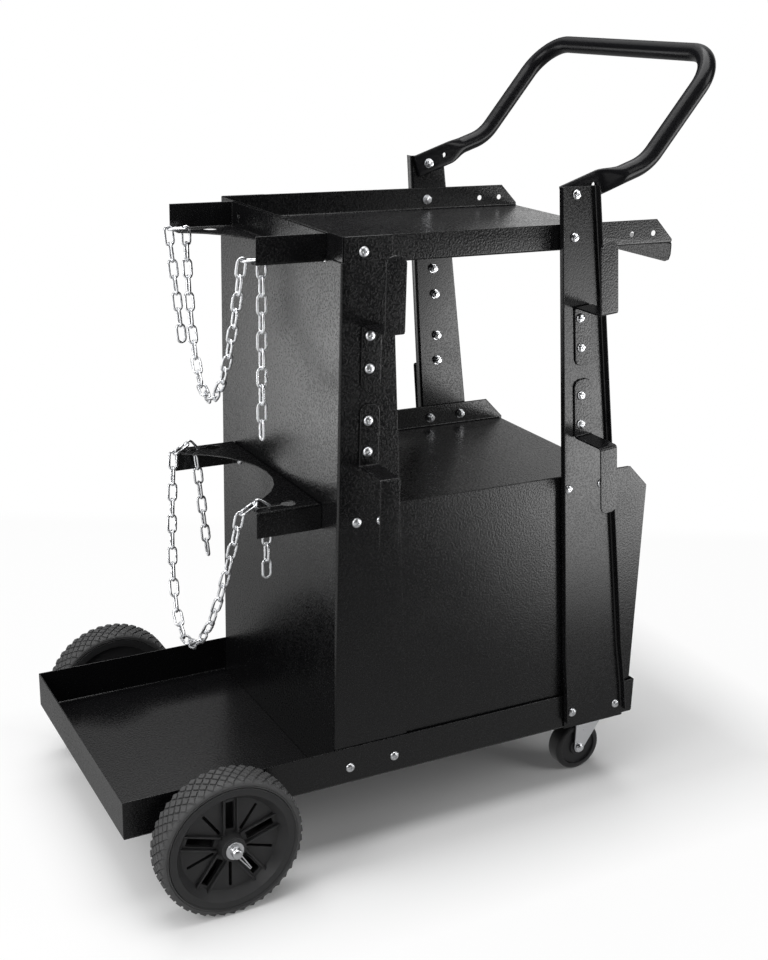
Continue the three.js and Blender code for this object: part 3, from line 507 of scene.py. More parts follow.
class Workshop:
    """Turns meshes into finished pieces of the frame."""

    def __init__(self) -> None:
        """Builds the materials."""
        effects = Effects()
        self.materials = {finish.slot: finish.material(effects) for finish in FINISHES}

    def piece(
        self, name: str, shape: bmesh.types.BMesh, slot: Slot, body: str, nodes: Sequence[str] = ()
    ) -> bpy.types.Object:
        """Makes a piece from a shape, which is used up.

        Args:
            name: The piece's name.
            shape: Its shape, in the row frame.
            slot: Its material slot.
            body: The body it moves with.
            nodes: CAD nodes that it stands for.

        Returns:
            The piece.
        """
        bmesh.ops.recalc_face_normals(shape, faces=shape.faces)
        for face in shape.faces:
            face.smooth = True
        for edge in shape.edges:
            edge.smooth = edge.calc_face_angle(0.0) < SMOOTH_BELOW
        mesh = bpy.data.meshes.new(name)
        shape.to_mesh(mesh)
        shape.free()
        mesh.materials.append(self.materials[slot])
        piece = bpy.data.objects.new(name, mesh)
        bpy.context.scene.collection.objects.link(piece)
        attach(piece, body)
        if nodes:
            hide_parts(*nodes)
        LOG.info("%s: %d faces on %s", name, len(mesh.polygons), body)
        return piece

    def soften(self, piece: bpy.types.Object, width: float, segments: int = 2) -> None:
        """Rounds a piece's sharp edges and keeps its flats flat.

        Args:
            piece: The piece.
            width: The rounding's width in metres.
            segments: Steps in the rounding.
        """
        bevel = piece.modifiers.new("edge_rounding", "BEVEL")
        bevel.width = width
        bevel.segments = segments
        bevel.limit_method = "ANGLE"
        bevel.angle_limit = SMOOTH_BELOW
        bevel.use_clamp_overlap = False
        for edge in piece.data.edges:
            edge.use_edge_sharp = False
        piece.modifiers.new("flat_faces", "WEIGHTED_NORMAL")

    def from_node(self, node: str, slot: Slot, body: str, rounding: float) -> bpy.types.Object:
        """Makes a piece from a merged copy of a CAD node, with its edges rounded.

        Args:
            node: The CAD node.
            slot: Its material slot.
            body: The body it moves with.
            rounding: Width of the edge rounding in metres.

        Returns:
            The piece.
        """
        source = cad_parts[node]
        shape = bmesh.new()
        shape.from_mesh(source.data)
        shape.transform(source.matrix_world)
        bmesh.ops.remove_doubles(shape, verts=shape.verts, dist=MERGE_WITHIN)
        bmesh.ops.dissolve_limit(
            shape, angle_limit=FLAT_WITHIN, use_dissolve_boundaries=False,
            verts=shape.verts, edges=shape.edges,
        )
        piece = self.piece(f"{node}_finished", shape, slot, body, (node,))
        self.soften(piece, rounding)
        return piece


def turned(profile: Sequence[Pair], steps: int, unit: float = MM) -> bmesh.types.BMesh:
    """Turns a profile about Y.

    Args:
        profile: Points of radius and place along Y.
        steps: Steps round the axis.
        unit: The profile's unit in metres.

    Returns:
        The turned shape, at the origin.
    """
    shape = bmesh.new()
    points = [shape.verts.new((radius * unit, along * unit, 0.0)) for radius, along in profile]
    edges = [shape.edges.new(pair) for pair in zip(points, points[1:])]
    if profile[0][0] * unit > MERGE_WITHIN:
        edges.append(shape.edges.new((points[-1], points[0])))
    bmesh.ops.spin(
        shape, geom=points + edges, cent=(0, 0, 0), axis=Y_AXIS, angle=math.tau, steps=steps, use_merge=True
    )
    bmesh.ops.remove_doubles(shape, verts=shape.verts, dist=MERGE_WITHIN)
    bmesh.ops.dissolve_degenerate(shape, dist=MERGE_WITHIN, edges=shape.edges)
    bmesh.ops.recalc_face_normals(shape, faces=shape.faces)
    return shape


def swept(rings: Sequence[Matrix], sides: int, closed: bool) -> bmesh.types.BMesh:
    """Sweeps a round section through places.

    Args:
        rings: Each place of the section, which has a radius of 1 in its own XY.
        sides: Sides of the section.
        closed: True if the last ring meets the first.

    Returns:
        The swept shape.
    """
    shape = bmesh.new()
    made = bmesh.ops.create_circle(shape, cap_ends=False, radius=1.0, segments=sides, matrix=rings[0])
    first = list({edge for vert in made["verts"] for edge in vert.link_edges})
    last = first
    for before, after in zip(rings, rings[1:]):
        grown = bmesh.ops.extrude_edge_only(shape, edges=last)["geom"]
        moved = [item for item in grown if isinstance(item, bmesh.types.BMVert)]
        reached = set(moved)
        last = [
            item for item in grown if isinstance(item, bmesh.types.BMEdge) and set(item.verts) <= reached
        ]
        bmesh.ops.transform(shape, matrix=after @ before.inverted(), verts=moved)
    if closed:
        bmesh.ops.bridge_loops(shape, edges=first + last)
    else:
        bmesh.ops.contextual_create(shape, geom=first)
        bmesh.ops.contextual_create(shape, geom=last)
    bmesh.ops.recalc_face_normals(shape, faces=shape.faces)
    return shape


def scattered(template: bmesh.types.BMesh, places: Iterable[Matrix]) -> bmesh.types.BMesh:
    """Puts copies of a shape at places, in one shape.

    Args:
        template: The shape to copy, which is kept.
        places: Where the copies go.

    Returns:
        All the copies together.
    """
    whole = bmesh.new()
    for matrix in places:
        copy = template.copy()
        copy.transform(matrix)
        mesh = bpy.data.meshes.new("copy")
        copy.to_mesh(mesh)
        copy.free()
        whole.from_mesh(mesh)
        bpy.data.meshes.remove(mesh)
    return whole


def joined(shapes: Iterable[bmesh.types.BMesh]) -> bmesh.types.BMesh:
    """Puts several shapes, which are used up, in one."""
    whole = bmesh.new()
    for shape in shapes:
        mesh = bpy.data.meshes.new("part")
        shape.to_mesh(mesh)
        shape.free()
        whole.from_mesh(mesh)
        bpy.data.meshes.remove(mesh)
    return whole


def cut(shape: bmesh.types.BMesh, cutter: bmesh.types.BMesh) -> bmesh.types.BMesh:
    """Takes one shape away from another. Both are used up.

    Args:
        shape: What is cut.
        cutter: What is taken away.

    Returns:
        What is left.
    """
    scene = bpy.context.scene
    holders = []
    for label, source in (("cut_shape", shape), ("cut_tool", cutter)):
        mesh = bpy.data.meshes.new(label)
        bmesh.ops.recalc_face_normals(source, faces=source.faces)
        source.to_mesh(mesh)
        source.free()
        holder = bpy.data.objects.new(label, mesh)
        scene.collection.objects.link(holder)
        holders.append(holder)
    kept, tool = holders
    boolean = kept.modifiers.new("cut", "BOOLEAN")
    boolean.operation = "DIFFERENCE"
    boolean.solver = "EXACT"
    boolean.object = tool
    ready = kept.evaluated_get(bpy.context.evaluated_depsgraph_get())
    left = bmesh.new()
    left.from_mesh(ready.to_mesh())
    ready.to_mesh_clear()
    for holder in holders:
        mesh = holder.data
        bpy.data.objects.remove(holder)
        bpy.data.meshes.remove(mesh)
    return left


def block(low: Sequence[float], high: Sequence[float], rounding: float) -> bmesh.types.BMesh:
    """Makes a box between two corners with rounded edges.

    Args:
        low: Lowest corner in metres.
        high: Highest corner in metres.
        rounding: Radius of its edges in metres.

    Returns:
        The box.
    """
    low, high = Vector(low), Vector(high)
    size = high - low
    shape = bmesh.new()
    middle = Matrix.Translation((low + high) / 2)
    bmesh.ops.create_cube(shape, size=1.0, matrix=middle @ Matrix.Diagonal((*size, 1)))
    bmesh.ops.bevel(
        shape, geom=shape.edges[:], offset=rounding, affect="EDGES", segments=2, profile=0.5, material=-1
    )
    return shape


@dataclass
class SheetWork:
    """Folded and punched sheet metal, kept in its CAD shape with softened edges. Sizes in metres."""

    rounding: float = 0.6 * MM
    hook_rounding: float = 0.9 * MM
    plated_rounding: float = 0.35 * MM
    panel_corner: float = 4.0 * MM
    panel_top: float = 643.4 * MM
    panel_rise: float = 3.2 * MM
    single: tuple[str, ...] = (
        "base_tray", "back_panel", "lower_shelf", "top_shelf",
        "upper_cylinder_bracket", "lower_cylinder_bracket",
    )
    paired: tuple[str, ...] = ("side_panel", "front_post", "axle_bracket")
    hooks: tuple[str, ...] = ("rear_upper_hook", "rear_lower_hook", "front_upper_hook", "front_lower_hook")
    plated: tuple[str, ...] = ("caster_plate", "caster_kingpin", "axle_spacer")
    smooth: str = "front_post"

    def close_panel(self, panel: bpy.types.Object) -> None:
        """Carries the back panel's top edge up past the shelf's bend, so that no light shows between them.

        Args:
            panel: The finished back panel.
        """
        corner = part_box("back_panel")[0].x + self.panel_corner
        edge = TRAY_UNDERSIDE + self.panel_top
        for vertex in panel.data.vertices:
            if vertex.co.x < corner and edge < vertex.co.z < edge + self.panel_rise:
                vertex.co.z += self.panel_rise

    @staticmethod
    def coat_smoothly(piece: bpy.types.Object) -> None:
        """Marks a piece whose coat has less grain."""
        marks = piece.data.attributes.new(SMOOTH_COAT, "FLOAT", "POINT")
        for mark in marks.data:
            mark.value = 1.0

    def build(self, shop: Workshop) -> None:
        """Makes every sheet piece from its CAD node."""
        for node in self.single:
            piece = shop.from_node(node, Slot.COAT, "frame", self.rounding)
            if node == "back_panel":
                self.close_panel(piece)
        for side in Side:
            for node in self.paired:
                piece = shop.from_node(f"{side.label}_{node}", Slot.COAT, "frame", self.rounding)
                if node == self.smooth:
                    self.coat_smoothly(piece)
            for node in self.hooks:
                shop.from_node(f"{side.label}_{node}", Slot.COAT, "frame", self.hook_rounding)
            for node in self.plated:
                shop.from_node(f"{side.label}_{node}", Slot.ZINC, "frame", self.plated_rounding)
            caster = f"{side.label}_caster"
            shop.from_node(f"{caster}_fork", Slot.ZINC, caster, self.plated_rounding)


@dataclass
class HandleTube:
    """Bent round tube with flattened, bolted ends. Sizes in millimetres, as in the CAD."""

    tube: float = 22.0
    flat: float = 5.0
    flat_height: float = 30.0
    flat_length: float = 52.0
    taper: float = 30.0
    flat_roundness: float = 0.4
    end_margin: float = 14.0
    bolt_x: float = 569.976
    bolt_z: float = 809.0
    knee: Pair = (98.0, 34.0)
    knee_radius: float = 60.0
    bar: Pair = (100.0, 125.1)
    corner_radius: float = 50.0
    inner_wall: float = 170.4
    hole: float = 7.0
    hole_pitch: float = 31.0
    hole_sides: int = 24
    rounding: float = 0.4
    sides: int = 32
    bend_steps: int = 20
    run_step: float = 3.0

    @property
    def middle(self) -> float:
        """Distance of each leg's middle from the cart's middle."""
        return self.inner_wall + self.tube / 2

    def corners(self) -> list[Vector]:
        """Corners of the tube's path, in millimetres."""
        bolt = Vector((self.bolt_x, self.bolt_z))
        knee = bolt + Vector(self.knee)
        bar = knee + Vector(self.bar)
        start = bolt - (knee - bolt).normalized() * self.end_margin
        leg = [Vector((point.x, -self.middle, point.y)) for point in (start, knee, bar)]
        other = [Vector((point.x, -point.y, point.z)) for point in reversed(leg)]
        return leg + other

    def path(self) -> list[Vector]:
        """Points along the tube, close together, in millimetres."""
        corners = self.corners()
        radii = (self.knee_radius, self.corner_radius, self.corner_radius, self.knee_radius)
        points = [corners[0]]
        for i, radius in enumerate(radii):
            corner = corners[i + 1]
            before = (corners[i] - corner).normalized()
            after = (corners[i + 2] - corner).normalized()
            half = before.angle(after) / 2
            centre = corner + (before + after).normalized() * (radius / math.sin(half))
            first = corner + before * (radius / math.tan(half)) - centre
            axis = before.cross(after).normalized()
            sweep = math.pi - 2 * half
            for step in range(self.bend_steps + 1):
                turn = Matrix.Rotation(-sweep * step / self.bend_steps, 3, axis)
                points.append(centre + turn @ first)
        points.append(corners[-1])
        return points

    def stepped(self) -> list[Vector]:
        """The path with its straight end runs cut in short steps, for the flattening."""
        points = self.path()
        fine = []
        for first, second in zip(points, points[1:]):
            steps = max(1, round((second - first).length / self.run_step))
            fine.extend(first.lerp(second, step / steps) for step in range(steps))
        return fine + [points[-1]]

    def rings(self, points: Sequence[Vector]) -> list[Matrix]:
        """Section places along points, in metres."""
        rings = []
        across = Y_AXIS.copy()
        earlier = None
        for point, tangent in zip(points, tangents(points)):
            if earlier is not None:
                across = earlier.rotation_difference(tangent) @ across
            earlier = tangent
            upward = tangent.cross(across).normalized()
            rings.append(section(place(*point), (across, upward, tangent), self.tube / 2 * MM))
        return rings

    def flatten(self, shape: bmesh.types.BMesh) -> None:
        """Presses the tube's end runs flat against the side they are bolted from."""
        start, knee = self.corners()[:2]
        run = (knee - start).normalized()
        upward = run.cross(Y_AXIS).normalized()
        origin = place(*start)
        for vert in shape.verts:
            offset = vert.co - Vector((origin.x, 0.0, origin.z))
            share = 1 - smoothstep(self.flat_length, self.flat_length + self.taper, offset.dot(run) / MM)
            if share <= 0 or abs(abs(vert.co.y) / MM - self.middle) > self.tube:
                continue
            sign = math.copysign(1.0, vert.co.y)
            across = (abs(vert.co.y) / MM - self.middle) / (self.tube / 2)
            rise = offset.dot(upward) / MM / (self.tube / 2)
            roundness = 1 + (self.flat_roundness - 1) * share
            thickness = (self.tube + (self.flat - self.tube) * share) / 2
            height = (self.tube + (self.flat_height - self.tube) * share) / 2
            across = math.copysign(abs(across) ** roundness, across)
            lifted = math.copysign(abs(rise) ** roundness, rise) * height
            inner = self.middle - self.tube / 2
            vert.co.y = sign * (inner + thickness + thickness * across) * MM
            vert.co += upward * ((lifted - rise * self.tube / 2) * MM)

    def build(self, shop: Workshop) -> None:
        """Sweeps, flattens and drills the tube."""
        shape = swept(self.rings(self.stepped()), self.sides, closed=False)
        self.flatten(shape)
        bolt = Vector((self.bolt_x, 0.0, self.bolt_z))
        run = Vector((self.knee[0], 0.0, self.knee[1])).normalized()
        reach, radius = 2 * self.middle, self.hole / 2
        drill = turned([(0.0, -reach), (radius, -reach), (radius, reach), (0.0, reach)], self.hole_sides)
        spots = [place(*(bolt + run * way)) for way in (0.0, self.hole_pitch)]
        holes = scattered(drill, [Matrix.Translation(spot) for spot in spots])
        drill.free()
        piece = shop.piece("handle_tube", cut(shape, holes), Slot.TUBE, "frame", ("handle",))
        shop.soften(piece, self.rounding * MM)


@dataclass(frozen=True)
class ChainArm:
    """How a chain is held on one bracket arm. Sizes in millimetres."""

    overhang: float
    slot_fall: float
    end_links: int
    lean: float
    loop_at_tip: bool


@dataclass(frozen=True)
class ArmPlaces:
    """Where one arm's held links go, and where the chain hangs from them."""

    over: Matrix
    slot: Matrix
    at_tip: Vector
    at_slot: Vector


@dataclass
class ChainSet:
    """A cylinder chain: held links, a slung loop and two loose ends. Sizes in millimetres, as in the CAD."""

    level: Level
    plate_top: float
    loop_links: int
    loop_lean: float
    over_rise: float
    left: ChainArm
    right: ChainArm
    wire: float = 3.2
    length: float = 26.5
    width: float = 13.5
    bearing: float = 0.6
    bracket_tip: float = 185.0
    spread: float = 119.0
    fit: float = 0.3
    weld: float = 1.14
    weld_length: float = 1.6
    weld_top: float = 0.4
    wire_sides: int = 12
    crown_steps: int = 8
    passes: int = 60

    @property
    def inside(self) -> float:
        """Length of a link's hole."""
        return self.length - 2 * self.wire

    @property
    def pitch(self) -> float:
        """Step from one joint to the next."""
        return self.inside + self.bearing

    @property
    def crown(self) -> float:
        """Distance from a link's middle to the wire's middle at its end."""
        return (self.length - self.wire) / 2

    @property
    def bend(self) -> float:
        """Radius of the wire's middle round a link's end."""
        return (self.width - self.wire) / 2

    def link(self) -> bmesh.types.BMesh:
        """Bends one welded link, its length along X and its width along Y, at the origin."""
        radius = self.bend
        half = self.crown - radius
        stops: list[tuple[Vector, Vector, float]] = []
        for end in (1, -1):
            for step in range(self.crown_steps + 1):
                angle = math.pi * (step / self.crown_steps - 0.5)
                outward = Vector((end * math.cos(angle), end * math.sin(angle), 0.0))
                stops.append((Vector((end * half, 0, 0)) + outward * radius, outward, 1.0))
            if end > 0:
                top = self.weld_top
                for way, swell in ((1.0, 1.0), (top, self.weld), (-top, self.weld), (-1.0, 1.0)):
                    middle = Vector((way * self.weld_length, radius, 0.0))
                    stops.append((middle, Y_AXIS.copy(), swell))
        rings = []
        for middle, outward, swell in stops:
            forward = Z_AXIS.cross(outward)
            rings.append(section(middle * MM, (outward, Z_AXIS, -forward), self.wire / 2 * MM * swell))
        return swept(rings, self.wire_sides, closed=True)

    @staticmethod
    def run(link: bmesh.types.BMesh, joints: Sequence[Vector], first_across: Vector) -> bmesh.types.BMesh:
        """Strings links between joints, each turned a quarter from the last.

        Args:
            link: The link to repeat.
            joints: Joint places in millimetres.
            first_across: Direction of the first link's width.

        Returns:
            The run of chain.
        """
        places = []
        for i, (first, second) in enumerate(zip(joints, joints[1:])):
            along = (second - first).normalized()
            side = (first_across - along * first_across.dot(along)).normalized()
            across = side if i % 2 == 0 else along.cross(side)
            places.append(basis(along, across, place(*((first + second) / 2))))
        return scattered(link, places)

    def slung(self, start: Vector, end: Vector) -> list[Vector]:
        """Joints of the loop: a catenary between two points, swung out by its lean."""
        length = self.loop_links * self.pitch
        rise = end.z - start.z
        level = Vector((end.x - start.x, end.y - start.y, 0.0))
        span = level.length
        slack = math.sqrt(length**2 - rise**2)
        low, high = span / self.passes, length * self.passes
        for _ in range(self.passes):
            scale = (low + high) / 2
            if 2 * scale * math.sinh(span / (2 * scale)) > slack:
                low = scale
            else:
                high = scale
        lowest = span / 2 - high * math.atanh(rise / length)
        sag = high * math.cosh(lowest / high)
        turn = Matrix.Rotation(math.radians(self.loop_lean), 3, (end - start).normalized())
        joints = []
        for i in range(self.loop_links + 1):
            along = high * math.asinh(i * self.pitch / high - math.sinh(lowest / high))
            point = level.normalized() * (lowest + along) + Z_AXIS * (high * math.cosh(along / high) - sag)
            joints.append(start + turn @ point)
        return joints

    def arm_places(self, side: Side, arm: ChainArm) -> ArmPlaces:
        """Finds the places on one arm.

        Args:
            side: The arm's side.
            arm: How it holds the chain.

        Returns:
            The held links' places in metres and the hanging joints in millimetres.
        """
        rise, fall = math.radians(self.over_rise), math.radians(arm.slot_fall)
        over_along = Vector((math.cos(rise), 0.0, math.sin(rise)))
        slot_along = Vector((math.cos(fall), 0.0, -math.sin(fall)))
        height = self.plate_top + (self.wire / 2 + self.fit) / math.cos(rise) - arm.overhang * math.tan(rise)
        tip = Vector((self.bracket_tip - arm.overhang, side.value * self.spread, height))
        slot_reach = self.crown - self.wire + self.bearing
        slot_middle = tip + over_along * (2 * self.crown) + slot_along * slot_reach
        slot_foot = slot_middle + slot_along * (self.crown - self.bend) - Z_AXIS * self.bend
        hung = Z_AXIS * (self.wire / 2 + self.fit + self.bearing / 2)
        return ArmPlaces(
            over=basis(over_along, Y_AXIS, place(*(tip + over_along * self.crown))),
            slot=basis(slot_along, slot_along.cross(Y_AXIS), place(*slot_middle)),
            at_tip=tip + hung,
            at_slot=slot_foot + hung,
        )

    def build(self, shop: Workshop) -> None:
        """Makes the held links, the loose ends and the loop."""
        link = self.link()
        label = self.level.value
        loop_ends = []
        for side, arm in ((Side.LEFT, self.left), (Side.RIGHT, self.right)):
            places = self.arm_places(side, arm)
            name = f"{label}_{side.label}"
            held = scattered(link, (places.over, places.slot))
            shop.piece(f"{name}_held_links", held, Slot.ZINC, "frame", (f"{name}_anchor_links",))
            top = places.at_slot if arm.loop_at_tip else places.at_tip
            fall = Matrix.Rotation(-math.radians(arm.lean), 3, Y_AXIS) @ Vector((0, 0, -self.pitch))
            joints = [top + fall * i for i in range(arm.end_links + 1)]
            end = self.run(link, joints, Y_AXIS if arm.loop_at_tip else X_AXIS)
            shop.piece(f"{name}_loose_end", end, Slot.ZINC, f"{name}_end", (f"{name}_chain_end",))
            loop_ends.append(places.at_tip if arm.loop_at_tip else places.at_slot)
        loop = self.run(link, self.slung(*loop_ends), X_AXIS)
        shop.piece(f"{label}_slung_loop", loop, Slot.ZINC, f"{label}_loop", (f"{label}_chain_loop",))
        link.free()


CHAINS = (
    ChainSet(
        Level.UPPER, plate_top=743.0, loop_links=22, loop_lean=2.5, over_rise=0,
        left=ChainArm(overhang=9, slot_fall=90, end_links=9, lean=0, loop_at_tip=True),
        right=ChainArm(overhang=8, slot_fall=90, end_links=7, lean=6, loop_at_tip=False),
    ),
    ChainSet(
        Level.LOWER, plate_top=457.0, loop_links=25, loop_lean=7.5, over_rise=30,
        left=ChainArm(overhang=13, slot_fall=35, end_links=4, lean=0, loop_at_tip=True),
        right=ChainArm(overhang=8, slot_fall=50, end_links=7, lean=6, loop_at_tip=True),
    ),
)


@dataclass
class RearWheel:
    """A moulded wheel with a lattice-tread tyre. Sizes in millimetres.

    The wall's points, from bead to shoulder, are a height above the rim and a depth behind the face.
    """

    side: Side
    place_x: float = 113.0
    middle_y: float = 214.6
    radius: float = 88.9
    half_width: float = 20.0
    rim: float = 78.0
    fit: float = 0.3
    bead: float = 1.2
    wall: tuple[Pair, ...] = (
        (0.9, 0.3), (2.2, 0.0), (2.6, 0.7), (3.2, 0.7), (3.6, 0.0), (5.2, 0.0), (7.0, 1.0), (8.3, 2.9),
    )
    tread_depth: float = 2.0
    tread_root: float = 84.5
    tread_count: int = 44
    tread_rows: int = 5
    tread_row_pitch: float = 7.0
    tread_fill: float = 0.86
    tread_top: float = 0.84
    shoulder: float = 5.0
    dish: float = 60.0
    rim_inner: float = 69.0
    dish_depth: float = 12.0
    web: float = 6.0
    boss: float = 15.0
    boss_proud: float = 2.0
    boss_draft: float = 1.5
    ledge_width: float = 3.2
    ledge_depth: float = 1.2
    lip_foot: float = 1.4
    lip_top: float = 1.0
    lip_proud: float = 0.6
    bore: float = 6.3
    slot_inner: float = 21.0
    slot_outer: float = 56.0
    slot_widths: Pair = (10.0, 3.5)
    slot_pairs: int = 5
    slot_rounding: float = 1.2
    hub_rounding: float = 0.5
    rib_width: float = 2.2
    rib_height: float = 4.0
    rib_gap: float = 3.4
    rib_past_dish: float = 4.0
    rib_rounding: float = 0.5
    overlap: float = 0.5
    inner_web_inset: float = 7.0
    inner_web_thickness: float = 2.5
    inner_web_overlap: float = 1.0
    steps: int = 96

    def settle(self) -> Matrix:
        """Where the wheel goes, its outer face turned away from the cart."""
        middle = place(self.place_x, self.side.value * self.middle_y, self.radius)
        return Matrix.Translation(middle) @ self.side.outward

    def crown(self, along: float) -> float:
        """Radius of the tread's top at a place along the axle."""
        past = max(abs(along) - (self.half_width - self.shoulder), 0.0)
        return self.radius - self.tread_depth * (past / self.shoulder) ** 2

    def carcass(self) -> bmesh.types.BMesh:
        """Turns the tyre under its tread, with a groove and a bead on each wall."""
        half = self.half_width
        floor = self.radius - self.tread_depth
        face = [
            (self.rim + self.fit, -half + self.bead),
            *((self.rim + height, -half + depth) for height, depth in self.wall),
            (floor, -half + self.shoulder),
        ]
        return turned(mirrored(face), self.steps)

    def tread(self) -> bmesh.types.BMesh:
        """Sets lozenge blocks in staggered rows round the tyre."""
        pitch = math.tau * self.radius / self.tread_count
        rows = []
        for row in range(self.tread_rows):
            middle = (row - (self.tread_rows - 1) / 2) * self.tread_row_pitch
            lozenge = bmesh.new()
            bmesh.ops.create_circle(lozenge, cap_ends=True, radius=1.0, segments=4)
            grown = bmesh.ops.extrude_face_region(lozenge, geom=lozenge.faces[:])["geom"]
            top = {item for item in grown if isinstance(item, bmesh.types.BMVert)}
            for vert in lozenge.verts:
                size = self.tread_fill * (self.tread_top if vert in top else 1.0)
                round_way = vert.co.x * size * pitch / 2
                along = middle + vert.co.y * size * self.tread_row_pitch
                along = max(-self.half_width, min(self.half_width, along))
                out = self.crown(along) if vert in top else self.tread_root
                angle = round_way / self.radius
                vert.co = Vector((out * math.cos(angle), along, out * math.sin(angle))) * MM
            stagger = 0.5 * (row % 2)
            turns = [
                Matrix.Rotation(math.tau * (step + stagger) / self.tread_count, 4, "Y")
                for step in range(self.tread_count)
            ]
            rows.append(scattered(lozenge, turns))
            lozenge.free()
        return joined(rows)

    def hub(self) -> bmesh.types.BMesh:
        """Turns the hub and cuts its slots."""
        half = self.half_width
        face = self.dish_depth - half
        boss = half + self.boss_proud
        ledge, back = self.boss - self.ledge_width, face + self.web
        profile = [
            (self.bore, -boss), (ledge, -boss), (ledge, -boss + self.ledge_depth),
            (self.boss, -boss + self.ledge_depth), (self.boss + self.boss_draft, face), (self.dish, face),
            (self.rim_inner, -half), (self.rim - self.lip_foot, -half),
            (self.rim - self.lip_top, -half - self.lip_proud), (self.rim, -half - self.lip_proud),
            (self.rim, half), (self.rim_inner, half), (self.dish, back), (self.boss, back),
            (self.boss, boss), (self.bore, boss),
        ]
        body = turned(profile, self.steps)
        bars = []
        for i in range(2 * self.slot_pairs):
            width = self.slot_widths[i % 2] / 2
            bar = block(
                (self.slot_inner * MM, -half * MM, -width * MM),
                (self.slot_outer * MM, half * MM, width * MM),
                self.slot_rounding * MM,
            )
            bar.transform(self.spoke(i))
            bars.append(bar)
        return cut(body, joined(bars))

    def inner_web(self) -> bmesh.types.BMesh:
        """Turns the thin web that closes the hub behind its slots."""
        near = (self.half_width - self.inner_web_inset) * MM
        far = near + self.inner_web_thickness * MM
        inner, outer = (self.boss - self.overlap) * MM, (self.rim_inner + self.inner_web_overlap) * MM
        return turned([(inner, near), (outer, near), (outer, far), (inner, far)], self.steps, unit=1.0)

    def spoke(self, index: int) -> Matrix:
        """Turn of one slot about the axle."""
        return Matrix.Rotation(math.pi * index / self.slot_pairs - math.pi / 2, 4, "Y")

    def ribs(self) -> bmesh.types.BMesh:
        """Stands a rib on each side of every wide slot."""
        face = self.dish_depth - self.half_width
        ribs = []
        for i in range(0, 2 * self.slot_pairs, 2):
            for way in (-1, 1):
                middle, half = way * (self.slot_widths[0] / 2 + self.rib_gap), self.rib_width / 2
                low = (self.boss + self.overlap, face - self.rib_height, middle - half)
                high = (self.dish + self.rib_past_dish, face + self.overlap, middle + half)
                rib = block(
                    [size * MM for size in low], [size * MM for size in high], self.rib_rounding * MM
                )
                rib.transform(self.spoke(i))
                ribs.append(rib)
        return joined(ribs)

    def build(self, shop: Workshop) -> None:
        """Makes the tyre and the hub."""
        label = self.side.label
        body = f"{label}_wheel"
        tyre = joined((self.carcass(), self.tread()))
        tyre.transform(self.settle())
        shop.piece(f"{label}_lattice_tyre", tyre, Slot.RUBBER, body, (f"{label}_tyre",))
        hub = self.hub()
        hub.transform(self.settle())
        piece = shop.piece(f"{label}_moulded_hub", hub, Slot.HUB, body, (f"{label}_wheel_hub",))
        shop.soften(piece, self.hub_rounding * MM)
        ribs = self.ribs()
        ribs.transform(self.settle())
        shop.piece(f"{label}_hub_ribs", ribs, Slot.HUB, body)
        web = self.inner_web()
        web.transform(self.settle())
        shop.piece(f"{label}_hub_inner_web", web, Slot.HUB, body)


